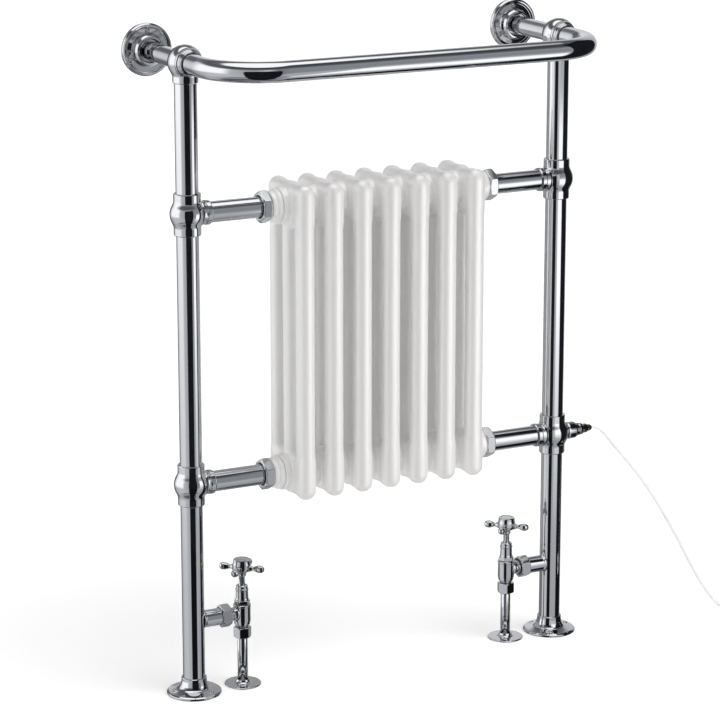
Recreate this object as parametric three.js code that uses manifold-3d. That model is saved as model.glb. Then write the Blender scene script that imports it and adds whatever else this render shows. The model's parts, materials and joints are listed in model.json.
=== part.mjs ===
// Traditional heated towel rail with a column radiator insert, two crosshead angle valves and an electric
// heating element. Millimetres, +Z up, floor at Z = 0, the wall behind at +Y, origin under the middle of the
// object's outline. Left and right are as seen from the front, looking along +Y.
import * as THREE from 'three';
import { mergeVertices } from 'three/addons/utils/BufferGeometryUtils.js';
import Module from 'manifold-3d';

const wasm = await Module();
wasm.setup();

// ---------------------------------------------------------------- driving dimensions
const GAP = 0.3; // clearance left between touching pieces, on a radius or a face
const OVERRUN = 2; // how far a cutting tool runs past the faces it cuts

// overall layout
const POST_SPACING = 600; // between the two post axes
const LOWER_HUB_HEIGHT = 316; // axis of the lower cross tubes above the floor
const UPPER_HUB_HEIGHT = 710; // axis of the upper cross tubes
const RAIL_HEIGHT = 924; // axis of the towel rail and the top balls
const RAIL_FORWARD = 141; // towel rail axis in front of the post axes
const WALL_BACK = 139; // wall plane behind the post axes

// tubes: outer radius, all with one wall thickness
const TUBE_WALL = 1.5;
const POST_RADIUS = 16;
const CROSS_RADIUS = 15;
const RAIL_RADIUS = 14.7;
const RAIL_BEND = 86; // centreline radius of the rail's two corners
const STAY_RADIUS = 13.5;
const STAY_END = 2; // stay's end from the wall

// ball tees
const TEE_SLEEVE_WALL = 3.5; // sleeve's outside beyond the post's
const TEE_BALL_SWELL = 5.5; // ball beyond its sleeves
const TEE_HALF_HEIGHT = 30;
const TEE_COLLAR_WALL = 2.6; // branch collar's outside beyond the cross tube's
const TEE_COLLAR_LENGTH = 8; // branch collar beyond the ball
const TEE_SOCKET = 15; // a sleeve's socket starts this far from the tee's centre
const TEE_STOP = 3; // shoulder that stops a post, so the water way is this much narrower

// top balls
const TOP_BALL_WALL = 8.8; // ball beyond the post
const TOP_COLLAR_WALL = 2.2; // collar beyond the post
const TOP_COLLAR_DROP = 29; // collar's lower end below the ball's centre
const TOP_SOCKET = 14; // rail and stay end this far from the ball's centre
const POST_TOP_DROP = 2; // post's top end below the underside of the rail's socket
const POST_FOOT = 1.6; // post's lower end above the floor

// flanges
const FLOOR_FLANGE_RADIUS = 40;
const FLOOR_FLANGE_EDGE = 4;
const FLOOR_COLLAR_HEIGHT = 25;
const FLOOR_COLLAR_WALL = 2.4;
const WALL_FLANGE_RADIUS = 38;
const WALL_FLANGE_THICKNESS = 9;
const WALL_BOSS_RADIUS = 22.5;
const WALL_BOSS_HEIGHT = 20; // boss front from the wall
const SCREW_HOLE_RADIUS = 2.6;
const FLOOR_SCREW_CIRCLE = 29.5; // radius of the ring of screws
const FLOOR_SCREW_TURN = -117 * Math.PI / 180; // the first one's angle about the post
const WALL_SCREW_CIRCLE = 27.5;
const SCREWS_PER_FLANGE = 3;

// radiator insert
const SECTION_COUNT = 7;
const SECTION_PITCH = 46;
const COLUMNS_DEEP = 3;
const COLUMN_PITCH = 42;
const COLUMN_RADIUS = 13.5;
const SECTION_WALL = 2;
const HEAD_ABOVE_HUB = 33; // section's end beyond the hub axis, top and bottom
const HEAD_BELOW_HUB = 30; // where the three columns part, on the inner side of the hub axis
const HUB_RADIUS = 26.5;
const HUB_BORE_RADIUS = 16;

// bushes and union nuts between radiator and cross tubes
const BUSH_STEP_RADII = [24.5, 21.8];
const BUSH_LENGTH = 15;
const BUSH_BORE_RADIUS = 14;
const UNION_WALL = 5.5; // union nut's flats beyond the cross tube
const UNION_LENGTH = 14;
const UNION_SEAT = 2; // cross tube's end inside the nut's inner face
const CROSS_ROOT = 2; // cross tube's other end from the post's surface

// heating element and cord
const ELEMENT_ROD_RADIUS = 5;
const ELEMENT_LENGTH = 420; // rod inside the lower cross tube and radiator
const ELEMENT_NECK_RADIUS = 10;
const ELEMENT_NECK_LENGTH = 10; // inside the tee
const ELEMENT_HEAD_RADIUS = 13;
const ELEMENT_HEAD_END = 39.5; // head's outer face from the post axis
const GLAND_LENGTH = 29;
const GLAND_RADIUS = 10;
const GLAND_TIP_RADIUS = 4.2;
const CORD_RADIUS = 3;
const COIL_MEAN_RADIUS = 34;
const COIL_LAYERS = 2;
const COIL_RINGS = 2; // turns side by side in a layer
const COIL_CENTRE = [600, -118];
// the lead's centreline from the gland to the coil: straight out, down under its own weight, along the floor
const CORD_ROUTE = [
  [369.1, 8.35, 316], [377, 8.35, 315.3], [385, 8.3, 311.3], [392.5, 8.2, 304.6], [400, 8.1, 296],
  [413, 7.8, 280], [428, 7, 263], [442, 5.8, 246], [455, 4.4, 229.5], [470, 2, 209],
  [484, -1.5, 187], [497, -6, 164], [509, -12, 140], [520, -19, 116], [530, -27, 92],
  [540, -35, 69], [550, -43, 48], [561, -51.3, 29.5], [573.5, -60, 14.8], [586, -68, 6],
  [597.5, -74.3, 3.1],
];
const CORD_STEPS = 28;

// valves, heights above the floor
const VALVE_INBOARD = 78; // valve axis from the post axis
const VALVE_TAIL_HEIGHT = 110;
const PLATE_RADIUS = 27;
const PLATE_THICKNESS = 2.4;
const PLATE_COLLAR_HEIGHT = 8;
const RISER_RADIUS = 7.5;
const RISER_WALL = 1;
const RISER_FOOT = 0.6; // riser's lower end above the floor
const RISER_STOP = 6; // riser's socket ends this far below the seat
const COMPRESSION_FLATS = 23.5;
const COMPRESSION_BASE = 73;
const BODY_BASE = 89;
const BODY_TOP = 124;
const BODY_RADIUS = 12.75;
const SEAT_HEIGHT = 102;
const SEAT_RADIUS = 4.5;
const CHAMBER_RADIUS = 9;
const STUB_RADIUS = 12.5; // stub welded to the post
const TAIL_RADIUS = 9.5;
const TAIL_BORE_RADIUS = 6;
const TAIL_NUT_FLATS = 30;
const TAIL_NUT_LENGTH = 15;
const TAIL_NUT_REACH = 36; // nut's outer face from the valve axis
const TAIL_SEAT = 3; // tail's end inside that face
const BONNET_HEX_FLATS = 21;
const BONNET_HEX_TOP = 130;
const BONNET_RADIUS = 9.5;
const BONNET_SHOULDER = 145;
const GLAND_NUT_RADIUS = 8.8;
const GLAND_NUT_TOP = 153;
const JUMPER_RADIUS = 7.5;
const JUMPER_HEIGHT = 4.4;
const JUMPER_ROOM = 8; // from the shut jumper's top to the bonnet
const SPINDLE_RADIUS = 5.3;
const HANDLE_BASE = 167;
const HANDLE_SOCKET = 5; // how far the spindle goes into the handle
const ARM_HEIGHT = 179;
const ARM_REACH = 29; // knob centre from the spindle axis
const ARM_RADIUS = 3;
const KNOB_RADIUS = 5.5;
const HANDLE_NECK_WALL = 1.6; // handle's foot beyond the spindle
const HANDLE_HUB_RADIUS = 13.5;
const CAP_RADIUS = 12.4;
const CAP_BASE = 187.5;
const HANDLE_TOP = 192.5;

// facets
const ROUND = 16; // posts, tees and tubes
const WIDE_ROUND = 20; // flanges and plates
const VALVE_ROUND = 12; // valve parts
const SLIM_ROUND = 8; // rods, arms and cord
const SECTION_ROUND = 8; // radiator columns and heads
const HUB_ROUND = 12;
const HIDDEN_ROUND = 6; // inner walls and screw holes

// ---------------------------------------------------------------- derived places
const POST_X = POST_SPACING / 2;
const POST_PLANE_Y = (RAIL_FORWARD + RAIL_RADIUS - WALL_BACK) / 2;
const SECTIONS_END = SECTION_COUNT * SECTION_PITCH / 2;
const BUSH_END = SECTIONS_END + BUSH_LENGTH;
const UNION_START = POST_X - BUSH_END - GAP; // union nut's inner face from the post axis
const CROSS_START = POST_RADIUS + CROSS_ROOT;
const UNION_FLATS = 2 * (CROSS_RADIUS + UNION_WALL);
const TEE_SLEEVE_RADIUS = POST_RADIUS + TEE_SLEEVE_WALL;
const TEE_BALL_RADIUS = TEE_SLEEVE_RADIUS + TEE_BALL_SWELL;
const TEE_WAY_RADIUS = POST_RADIUS - TEE_STOP;
const TEE_COLLAR_RADIUS = CROSS_RADIUS + TEE_COLLAR_WALL;
const TEE_COLLAR_REACH = TEE_BALL_RADIUS + TEE_COLLAR_LENGTH;
const TOP_BALL_RADIUS = POST_RADIUS + TOP_BALL_WALL;
const TOP_COLLAR_RADIUS = POST_RADIUS + TOP_COLLAR_WALL;
const COIL_OUTER = COIL_MEAN_RADIUS + COIL_RINGS * CORD_RADIUS;
const COIL_INNER = COIL_MEAN_RADIUS - COIL_RINGS * CORD_RADIUS;
const COIL_HEIGHT = COIL_LAYERS * 2 * CORD_RADIUS;

// ---------------------------------------------------------------- materials
const chrome = () => new THREE.MeshStandardMaterial({ color: '#c9cace', roughness: 0.08, metalness: 1 });
const enamel = () => new THREE.MeshStandardMaterial({ color: '#eeebe8', roughness: 0.28, metalness: 0 });
const stainless = () => new THREE.MeshStandardMaterial({ color: '#9d9c98', roughness: 0.35, metalness: 1 });
const rubber = () => new THREE.MeshStandardMaterial({ color: '#1c1b1a', roughness: 0.8, metalness: 0 });
const whiteFlex = () => new THREE.MeshStandardMaterial({ color: '#f1efec', roughness: 0.5, metalness: 0 });

// ---------------------------------------------------------------- solids
// Turns a closed geometry into a solid for joining and cutting.
function solid(geometry) {
  const bare = geometry.clone();
  bare.deleteAttribute('normal');
  bare.deleteAttribute('uv');
  const merged = mergeVertices(bare, 1e-4);
  const corners = merged.index.array;
  const kept = [];
  for (let i = 0; i < corners.length; i += 3) {
    const [a, b, c] = corners.slice(i, i + 3);
    if (a !== b && b !== c && c !== a) kept.push(a, b, c);
  }
  const vertProperties = new Float32Array(merged.attributes.position.array);
  const mesh = new wasm.Mesh({ numProp: 3, vertProperties, triVerts: new Uint32Array(kept) });
  return new wasm.Manifold(mesh);
}

function geometryOf(body) {
  const mesh = body.getMesh();
  const geometry = new THREE.BufferGeometry();
  geometry.setAttribute('position', new THREE.BufferAttribute(new Float32Array(mesh.vertProperties), 3));
  geometry.setIndex(new THREE.BufferAttribute(new Uint32Array(mesh.triVerts), 1));
  return geometry;
}

function join(...geometries) {
  return geometryOf(geometries.map(solid).reduce((sum, next) => sum.add(next)));
}

function cut(base, ...tools) {
  return geometryOf(tools.map(solid).reduce((rest, tool) => rest.subtract(tool), solid(base)));
}

// A profile of [radius, height] pairs turned about +Z. It runs upwards on its outside.
function turned(profile, sides) {
  const points = profile.map(([radius, height]) => new THREE.Vector2(radius, height));
  return new THREE.LatheGeometry(points, sides).rotateX(Math.PI / 2);
}

// A turned ring: its outside profile, closed by the bore's wall.
function ring(outside, boreRadius, sides) {
  const low = outside[0][1];
  const high = outside[outside.length - 1][1];
  return turned([[boreRadius, low], ...outside, [boreRadius, high], [boreRadius, low]], sides);
}

function tube(radius, wall, low, high, sides) {
  return ring([[radius, low], [radius, high]], radius - wall, sides);
}

function bar(radius, low, high, sides) {
  return turned([[0, low], [radius, low], [radius, high], [0, high]], sides);
}

// A hexagonal bar about +Z with two corners on X.
function hexBar(acrossFlats, low, high) {
  const radius = acrossFlats / Math.sqrt(3);
  const shape = new THREE.CylinderGeometry(radius, radius, high - low, 6);
  return shape.rotateX(Math.PI / 2).rotateZ(Math.PI / 6).translate(0, 0, (low + high) / 2);
}

function hexNut(acrossFlats, boreRadius, low, high, sides) {
  return cut(hexBar(acrossFlats, low, high), bar(boreRadius, low - OVERRUN, high + OVERRUN, sides));
}

const towardX = geometry => geometry.rotateY(Math.PI / 2);
const towardMinusX = geometry => geometry.rotateY(-Math.PI / 2);
const towardY = geometry => geometry.rotateX(-Math.PI / 2);
const towardMinusY = geometry => geometry.rotateX(Math.PI / 2);

// Points of a circle's arc in a profile, from one angle to another above the horizontal.
function arcProfile(radius, centreHeight, from, to, steps) {
  return Array.from({ length: steps + 1 }, (_, i) => {
    const angle = from + (to - from) * i / steps;
    return [radius * Math.cos(angle), centreHeight + radius * Math.sin(angle)];
  });
}

// ---------------------------------------------------------------- assembly
const radiator = new THREE.Group();
const frame = new THREE.Group(); // its XZ plane holds the two post axes
frame.position.y = POST_PLANE_Y;
radiator.add(frame);

function add(parent, name, geometry, material, place = [0, 0, 0]) {
  const mesh = new THREE.Mesh(geometry, material);
  mesh.name = name;
  mesh.position.set(...place);
  parent.add(mesh);
}

// ---------------------------------------------------------------- posts
function lowerPost() {
  const low = POST_FOOT;
  const high = LOWER_HUB_HEIGHT - TEE_SOCKET;
  const stubEnd = VALVE_INBOARD - TAIL_NUT_REACH - GAP;
  const stub = towardMinusX(bar(STUB_RADIUS, 0, stubEnd, ROUND)).translate(0, 0, VALVE_TAIL_HEIGHT);
  const way = bar(POST_RADIUS - TUBE_WALL, low - OVERRUN, high + OVERRUN, ROUND);
  const stubWay = towardMinusX(bar(STUB_RADIUS - TUBE_WALL, 0, stubEnd + OVERRUN, ROUND));
  const outside = join(bar(POST_RADIUS, low, high, ROUND), stub);
  return cut(outside, way, stubWay.translate(0, 0, VALVE_TAIL_HEIGHT));
}

function addPosts(side, name) {
  add(side, `${name}_post_lower`, lowerPost(), chrome());
  const middle = [LOWER_HUB_HEIGHT + TEE_SOCKET, UPPER_HUB_HEIGHT - TEE_SOCKET];
  add(side, `${name}_post_middle`, tube(POST_RADIUS, TUBE_WALL, ...middle, ROUND), chrome());
  const postTop = RAIL_HEIGHT - RAIL_RADIUS - POST_TOP_DROP;
  const upper = [UPPER_HUB_HEIGHT + TEE_SOCKET, postTop];
  add(side, `${name}_post_upper`, tube(POST_RADIUS, TUBE_WALL, ...upper, ROUND), chrome());
}

// ---------------------------------------------------------------- ball tees
// The branch points inboard, along -X; an element port opens the other side.
function ballTee(hasElementPort) {
  const seat = TEE_SOCKET - GAP;
  const bore = POST_RADIUS + GAP;
  const meet = Math.acos(TEE_SLEEVE_RADIUS / TEE_BALL_RADIUS);
  const body = turned([
    [bore, -TEE_HALF_HEIGHT],
    [TEE_SLEEVE_RADIUS, -TEE_HALF_HEIGHT],
    ...arcProfile(TEE_BALL_RADIUS, 0, -meet, meet, 4),
    [TEE_SLEEVE_RADIUS, TEE_HALF_HEIGHT],
    [bore, TEE_HALF_HEIGHT],
    [bore, seat],
    [TEE_WAY_RADIUS, seat],
    [TEE_WAY_RADIUS, -seat],
    [bore, -seat],
    [bore, -TEE_HALF_HEIGHT],
  ], ROUND);
  const collarRoot = (POST_RADIUS + CROSS_START) / 2; // clear of the post's socket
  const collar = towardMinusX(bar(TEE_COLLAR_RADIUS, collarRoot, TEE_COLLAR_REACH, ROUND));
  const branchEnd = TEE_COLLAR_REACH + OVERRUN;
  const branch = towardMinusX(bar(CROSS_RADIUS + GAP, TEE_WAY_RADIUS - OVERRUN, branchEnd, ROUND));
  const tools = [branch];
  if (hasElementPort) {
    const portEnd = TEE_BALL_RADIUS + OVERRUN;
    tools.push(towardX(bar(ELEMENT_NECK_RADIUS + GAP, TEE_WAY_RADIUS - OVERRUN, portEnd, ROUND)));
  }
  return cut(join(body, collar), ...tools);
}

function addTees(side, name) {
  const isElementSide = name === 'right';
  add(side, `${name}_tee_lower`, ballTee(isElementSide), chrome(), [0, 0, LOWER_HUB_HEIGHT]);
  add(side, `${name}_tee_upper`, ballTee(false), chrome(), [0, 0, UPPER_HUB_HEIGHT]);
}

// ---------------------------------------------------------------- cross tubes, union nuts and bushes
function bush() {
  const [wide, narrow] = BUSH_STEP_RADII;
  const outside = [
    [wide, GAP / 2],
    [wide, BUSH_LENGTH / 2],
    [narrow, BUSH_LENGTH / 2],
    [narrow, BUSH_LENGTH],
  ];
  return towardX(ring(outside, BUSH_BORE_RADIUS, ROUND));
}

function unionNut() {
  const inner = UNION_START - UNION_LENGTH;
  return towardMinusX(hexNut(UNION_FLATS, CROSS_RADIUS + GAP, inner, UNION_START, ROUND));
}

function addCrossTubes(side, name) {
  for (const [level, height] of [['lower', LOWER_HUB_HEIGHT], ['upper', UPPER_HUB_HEIGHT]]) {
    const place = [0, 0, height];
    const crossEnd = UNION_START - UNION_SEAT;
    const crossTube = towardMinusX(tube(CROSS_RADIUS, TUBE_WALL, CROSS_START, crossEnd, ROUND));
    add(side, `${name}_cross_tube_${level}`, crossTube, chrome(), place);
    add(side, `${name}_union_nut_${level}`, unionNut(), chrome(), place);
    add(side, `${name}_bush_${level}`, bush(), enamel(), [SECTIONS_END - POST_X, 0, height]);
  }
}

// ---------------------------------------------------------------- floor flanges
// The screws of a flange stand evenly on a circle, the first at an angle from +X.
function screwHoles(circle, low, high, first) {
  return Array.from({ length: SCREWS_PER_FLANGE }, (_, i) => {
    const angle = first + i * 2 * Math.PI / SCREWS_PER_FLANGE;
    const hole = bar(SCREW_HOLE_RADIUS, low - OVERRUN, high + OVERRUN, HIDDEN_ROUND);
    return hole.translate(circle * Math.cos(angle), circle * Math.sin(angle), 0);
  });
}

function floorFlange() {
  const collar = POST_RADIUS + FLOOR_COLLAR_WALL;
  const bell = ring([
    [FLOOR_FLANGE_RADIUS, 0],
    [FLOOR_FLANGE_RADIUS, FLOOR_FLANGE_EDGE],
    [FLOOR_FLANGE_RADIUS - 3, FLOOR_FLANGE_EDGE + 2],
    [collar + 6, FLOOR_FLANGE_EDGE + 4],
    [collar + 2, FLOOR_FLANGE_EDGE + 8],
    [collar, FLOOR_FLANGE_EDGE + 15],
    [collar, FLOOR_COLLAR_HEIGHT],
  ], POST_RADIUS + GAP, WIDE_ROUND);
  return cut(bell, ...screwHoles(FLOOR_SCREW_CIRCLE, 0, FLOOR_FLANGE_EDGE + 4, FLOOR_SCREW_TURN));
}

// ---------------------------------------------------------------- valves
// Built about the valve's own axis, with the tail along +X.
function valveBody() {
  const barrel = bar(BODY_RADIUS, BODY_BASE, BODY_TOP, VALVE_ROUND);
  const tailEnd = TAIL_NUT_REACH - TAIL_SEAT;
  const tail = towardX(bar(TAIL_RADIUS, 0, tailEnd, VALVE_ROUND)).translate(0, 0, VALVE_TAIL_HEIGHT);
  const inlet = bar(RISER_RADIUS + GAP, BODY_BASE - OVERRUN, SEAT_HEIGHT - RISER_STOP, VALVE_ROUND);
  const seatWay = bar(SEAT_RADIUS, BODY_BASE, SEAT_HEIGHT + OVERRUN, SLIM_ROUND);
  const chamber = bar(CHAMBER_RADIUS, SEAT_HEIGHT, BODY_TOP + OVERRUN, VALVE_ROUND);
  const outlet = towardX(bar(TAIL_BORE_RADIUS, CHAMBER_RADIUS / 2, tailEnd + OVERRUN, SLIM_ROUND));
  return cut(join(barrel, tail), inlet, seatWay, chamber, outlet.translate(0, 0, VALVE_TAIL_HEIGHT));
}

function bonnet() {
  const neckLow = SEAT_HEIGHT + JUMPER_HEIGHT + JUMPER_ROOM;
  const barrel = bar(BONNET_RADIUS, BODY_TOP + GAP, BONNET_SHOULDER, VALVE_ROUND);
  const neck = bar(CHAMBER_RADIUS - GAP, neckLow, BODY_TOP + 1, VALVE_ROUND);
  const hex = hexBar(BONNET_HEX_FLATS, BODY_TOP + GAP, BONNET_HEX_TOP);
  const glandNut = bar(GLAND_NUT_RADIUS, BONNET_SHOULDER - 1, GLAND_NUT_TOP, VALVE_ROUND);
  const way = bar(SPINDLE_RADIUS + GAP, neckLow - OVERRUN, GLAND_NUT_TOP + OVERRUN, VALVE_ROUND);
  return cut(join(barrel, neck, hex, glandNut), way);
}

function jumper() {
  const low = SEAT_HEIGHT + GAP;
  return bar(JUMPER_RADIUS, low, low + JUMPER_HEIGHT, VALVE_ROUND);
}

function spindle() {
  const low = SEAT_HEIGHT + JUMPER_HEIGHT + 2 * GAP;
  return bar(SPINDLE_RADIUS, low, HANDLE_BASE + HANDLE_SOCKET, VALVE_ROUND);
}

function handle() {
  const neck = SPINDLE_RADIUS + HANDLE_NECK_WALL;
  const hub = turned([
    [0, HANDLE_BASE],
    [neck, HANDLE_BASE],
    [neck, ARM_HEIGHT - 8],
    [HANDLE_HUB_RADIUS - 2.2, ARM_HEIGHT - 4.8],
    [HANDLE_HUB_RADIUS, ARM_HEIGHT - 1],
    [HANDLE_HUB_RADIUS, CAP_BASE - 3],
    [CAP_RADIUS, CAP_BASE],
    [CAP_RADIUS, HANDLE_TOP - 1.2],
    [CAP_RADIUS - 1.4, HANDLE_TOP],
    [0, HANDLE_TOP],
  ], VALVE_ROUND);
  const socketTop = HANDLE_BASE + HANDLE_SOCKET + GAP;
  const socket = bar(SPINDLE_RADIUS + GAP, HANDLE_BASE - OVERRUN, socketTop, VALVE_ROUND);
  const arms = [0, 1, 2, 3].map(i => {
    const arm = turned([
      [0, 0],
      [ARM_RADIUS, 0],
      [ARM_RADIUS, ARM_REACH - KNOB_RADIUS],
      [KNOB_RADIUS, ARM_REACH - KNOB_RADIUS * 0.35],
      [KNOB_RADIUS, ARM_REACH + KNOB_RADIUS * 0.35],
      [0, ARM_REACH + KNOB_RADIUS],
    ], SLIM_ROUND);
    return towardX(arm).rotateZ(Math.PI / 4 + i * Math.PI / 2).translate(0, 0, ARM_HEIGHT);
  });
  return cut(join(hub, ...arms), socket);
}

function floorPlate() {
  const collar = RISER_RADIUS + 1.6;
  return ring([
    [PLATE_RADIUS, 0],
    [PLATE_RADIUS, PLATE_THICKNESS],
    [collar + 0.8, PLATE_THICKNESS + 0.6],
    [collar, PLATE_COLLAR_HEIGHT],
  ], RISER_RADIUS + GAP, WIDE_ROUND);
}

function addValve(side, name) {
  const valve = new THREE.Group();
  valve.position.x = -VALVE_INBOARD;
  side.add(valve);
  const nutSpan = [TAIL_NUT_REACH - TAIL_NUT_LENGTH, TAIL_NUT_REACH];
  const tailNut = towardX(hexNut(TAIL_NUT_FLATS, TAIL_RADIUS + GAP, ...nutSpan, VALVE_ROUND));
  const bottomNut = [COMPRESSION_FLATS, RISER_RADIUS + GAP, COMPRESSION_BASE, BODY_BASE - GAP, VALVE_ROUND];
  const riserTop = SEAT_HEIGHT - RISER_STOP - GAP;
  const riser = tube(RISER_RADIUS, RISER_WALL, RISER_FOOT, riserTop, VALVE_ROUND);
  add(valve, `${name}_valve_body`, valveBody(), chrome());
  add(valve, `${name}_valve_union_nut`, tailNut.translate(0, 0, VALVE_TAIL_HEIGHT), chrome());
  add(valve, `${name}_valve_bonnet`, bonnet(), chrome());
  add(valve, `${name}_valve_jumper`, jumper(), rubber());
  add(valve, `${name}_valve_spindle`, spindle(), chrome());
  add(valve, `${name}_valve_handle`, handle(), chrome());
  add(valve, `${name}_compression_nut`, hexNut(...bottomNut), chrome());
  add(valve, `${name}_riser_pipe`, riser, chrome());
  add(valve, `${name}_floor_plate`, floorPlate(), chrome());
}

// ---------------------------------------------------------------- the two sides
// Each side is built about its post's axis with inboard along -X; the left one is turned half round.
for (const [name, turn, place] of [['right', 0, POST_X], ['left', Math.PI, -POST_X]]) {
  const side = new THREE.Group();
  side.position.x = place;
  side.rotation.z = turn;
  frame.add(side);
  addPosts(side, name);
  addTees(side, name);
  addCrossTubes(side, name);
  add(side, `${name}_floor_flange`, floorFlange(), chrome());
  addValve(side, name);
}

// ---------------------------------------------------------------- top balls, wall stays and wall flanges
function topBall() {
  const meet = Math.acos(TOP_COLLAR_RADIUS / TOP_BALL_RADIUS);
  const ball = turned([
    [0, -TOP_COLLAR_DROP],
    [TOP_COLLAR_RADIUS, -TOP_COLLAR_DROP],
    ...arcProfile(TOP_BALL_RADIUS, 0, -meet, Math.PI / 2, 8),
  ], ROUND);
  const reach = TOP_BALL_RADIUS + OVERRUN;
  const postEnd = GAP - RAIL_RADIUS - POST_TOP_DROP;
  const postBore = bar(POST_RADIUS + GAP, -TOP_COLLAR_DROP - OVERRUN, postEnd, ROUND);
  const railBore = towardMinusY(bar(RAIL_RADIUS + GAP, TOP_SOCKET - GAP, reach, ROUND));
  const stayBore = towardY(bar(STAY_RADIUS + GAP, TOP_SOCKET - GAP, reach, ROUND));
  return cut(ball, postBore, railBore, stayBore);
}

function wallFlange() {
  const edge = WALL_FLANGE_RADIUS;
  const disc = ring([
    [edge, 0],
    [edge, WALL_FLANGE_THICKNESS - 2],
    [edge - 2, WALL_FLANGE_THICKNESS],
    [edge - 5, WALL_FLANGE_THICKNESS],
    [edge - 6.5, WALL_FLANGE_THICKNESS - 2.5],
    [WALL_BOSS_RADIUS, WALL_FLANGE_THICKNESS - 2.5],
    [WALL_BOSS_RADIUS - 1, WALL_FLANGE_THICKNESS + 4],
    [STAY_RADIUS + 2.5, WALL_BOSS_HEIGHT],
  ], STAY_RADIUS + GAP, WIDE_ROUND);
  const holes = screwHoles(WALL_SCREW_CIRCLE, 0, WALL_FLANGE_THICKNESS, Math.PI / 2); // one screw at the top
  return towardMinusY(cut(disc, ...holes));
}

for (const [name, x] of [['left', -POST_X], ['right', POST_X]]) {
  const stay = towardY(tube(STAY_RADIUS, TUBE_WALL, TOP_SOCKET, WALL_BACK - STAY_END, ROUND));
  add(frame, `${name}_top_ball`, topBall(), chrome(), [x, 0, RAIL_HEIGHT]);
  add(frame, `${name}_wall_stay`, stay, chrome(), [x, 0, RAIL_HEIGHT]);
  add(frame, `${name}_wall_flange`, wallFlange(), chrome(), [x, WALL_BACK, RAIL_HEIGHT]);
}

// ---------------------------------------------------------------- towel rail
// Straight, quarter bend, straight, quarter bend, straight. Even steps of the parameter fall at the ends of
// the straights and along the bends, so a straight is one facet long.
class RailPath extends THREE.Curve {
  constructor() {
    super();
    this.bendSteps = 5;
    this.steps = 3 + 2 * this.bendSteps;
    const side = POST_X;
    const corner = side - RAIL_BEND;
    const front = -RAIL_FORWARD;
    const bendStart = front + RAIL_BEND;
    this.knots = [];
    this.knots.push([-side, -TOP_SOCKET]);
    for (let i = 0; i <= this.bendSteps; i += 1) {
      const angle = i / this.bendSteps * Math.PI / 2;
      this.knots.push([-corner - RAIL_BEND * Math.cos(angle), bendStart - RAIL_BEND * Math.sin(angle)]);
    }
    for (let i = this.bendSteps; i >= 0; i -= 1) {
      const angle = i / this.bendSteps * Math.PI / 2;
      this.knots.push([corner + RAIL_BEND * Math.cos(angle), bendStart - RAIL_BEND * Math.sin(angle)]);
    }
    this.knots.push([side, -TOP_SOCKET]);
  }

  getUtoTmapping(u) {
    return u;
  }

  getPoint(t) {
    const place = Math.min(Math.max(t, 0), 1) * this.steps;
    const index = Math.min(Math.floor(place), this.steps - 1);
    const part = place - index;
    const [[x0, y0], [x1, y1]] = [this.knots[index], this.knots[index + 1]];
    return new THREE.Vector3(x0 + (x1 - x0) * part, y0 + (y1 - y0) * part, 0);
  }
}

function towelRail() {
  const path = new RailPath();
  const section = new THREE.Shape().absarc(0, 0, RAIL_RADIUS, 0, 2 * Math.PI);
  section.holes.push(new THREE.Path().absarc(0, 0, RAIL_RADIUS - TUBE_WALL, 0, 2 * Math.PI, true));
  return new THREE.ExtrudeGeometry(section, {
    steps: path.steps,
    curveSegments: ROUND / 2,
    extrudePath: path,
  });
}

add(frame, 'towel_rail', towelRail(), chrome(), [0, 0, RAIL_HEIGHT]);

// ---------------------------------------------------------------- radiator sections
// One section: three columns, a round-ended head across them at each end, and a hub along X through each
// head. It is hollow, and open through its hubs.
function capsule(radius, low, high, sides) {
  const length = high - low;
  const shape = new THREE.CapsuleGeometry(radius, length, 2, sides);
  return shape.rotateX(Math.PI / 2).translate(0, 0, (low + high) / 2);
}

function block(size, centre) {
  return new THREE.BoxGeometry(...size).translate(...centre);
}

function radiatorSection() {
  const reach = (COLUMNS_DEEP - 1) / 2 * COLUMN_PITCH;
  const columnYs = Array.from({ length: COLUMNS_DEEP }, (_, i) => i * COLUMN_PITCH - reach);
  const hubHeights = [LOWER_HUB_HEIGHT, UPPER_HUB_HEIGHT];
  const endAxis = HEAD_ABOVE_HUB - COLUMN_RADIUS;
  const low = LOWER_HUB_HEIGHT - endAxis;
  const high = UPPER_HUB_HEIGHT + endAxis;
  const outside = columnYs.map(y => bar(COLUMN_RADIUS, low, high, SECTION_ROUND).translate(0, y, 0));
  const hollows = columnYs.map(y => (
    bar(COLUMN_RADIUS - SECTION_WALL, LOWER_HUB_HEIGHT, UPPER_HUB_HEIGHT, HIDDEN_ROUND).translate(0, y, 0)
  ));
  const cheek = COLUMN_RADIUS * 0.88;
  const hollowHalf = COLUMN_RADIUS - 2 * SECTION_WALL - 1.5;
  for (const [sign, hubHeight] of [[-1, hubHeights[0]], [1, hubHeights[1]]]) {
    const headAxis = hubHeight + sign * endAxis;
    outside.push(towardY(capsule(COLUMN_RADIUS, -reach, reach, SECTION_ROUND)).translate(0, 0, headAxis));
    const webHeight = HEAD_BELOW_HUB + endAxis;
    const webMiddle = hubHeight + sign * (endAxis - HEAD_BELOW_HUB) / 2;
    outside.push(block([2 * cheek, 2 * reach, webHeight], [0, 0, webMiddle]));
    const half = SECTION_PITCH / 2 - GAP / 2;
    outside.push(towardX(bar(HUB_RADIUS, -half, half, HUB_ROUND)).translate(0, 0, hubHeight));
    const hollowHeight = HEAD_BELOW_HUB + endAxis - 2 * SECTION_WALL;
    hollows.push(block([2 * hollowHalf, 2 * reach + SECTION_WALL, hollowHeight], [0, 0, webMiddle]));
    const bore = bar(HUB_BORE_RADIUS, -half - OVERRUN, half + OVERRUN, HUB_ROUND);
    hollows.push(towardX(bore).translate(0, 0, hubHeight));
  }
  return cut(join(...outside), ...hollows);
}

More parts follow.
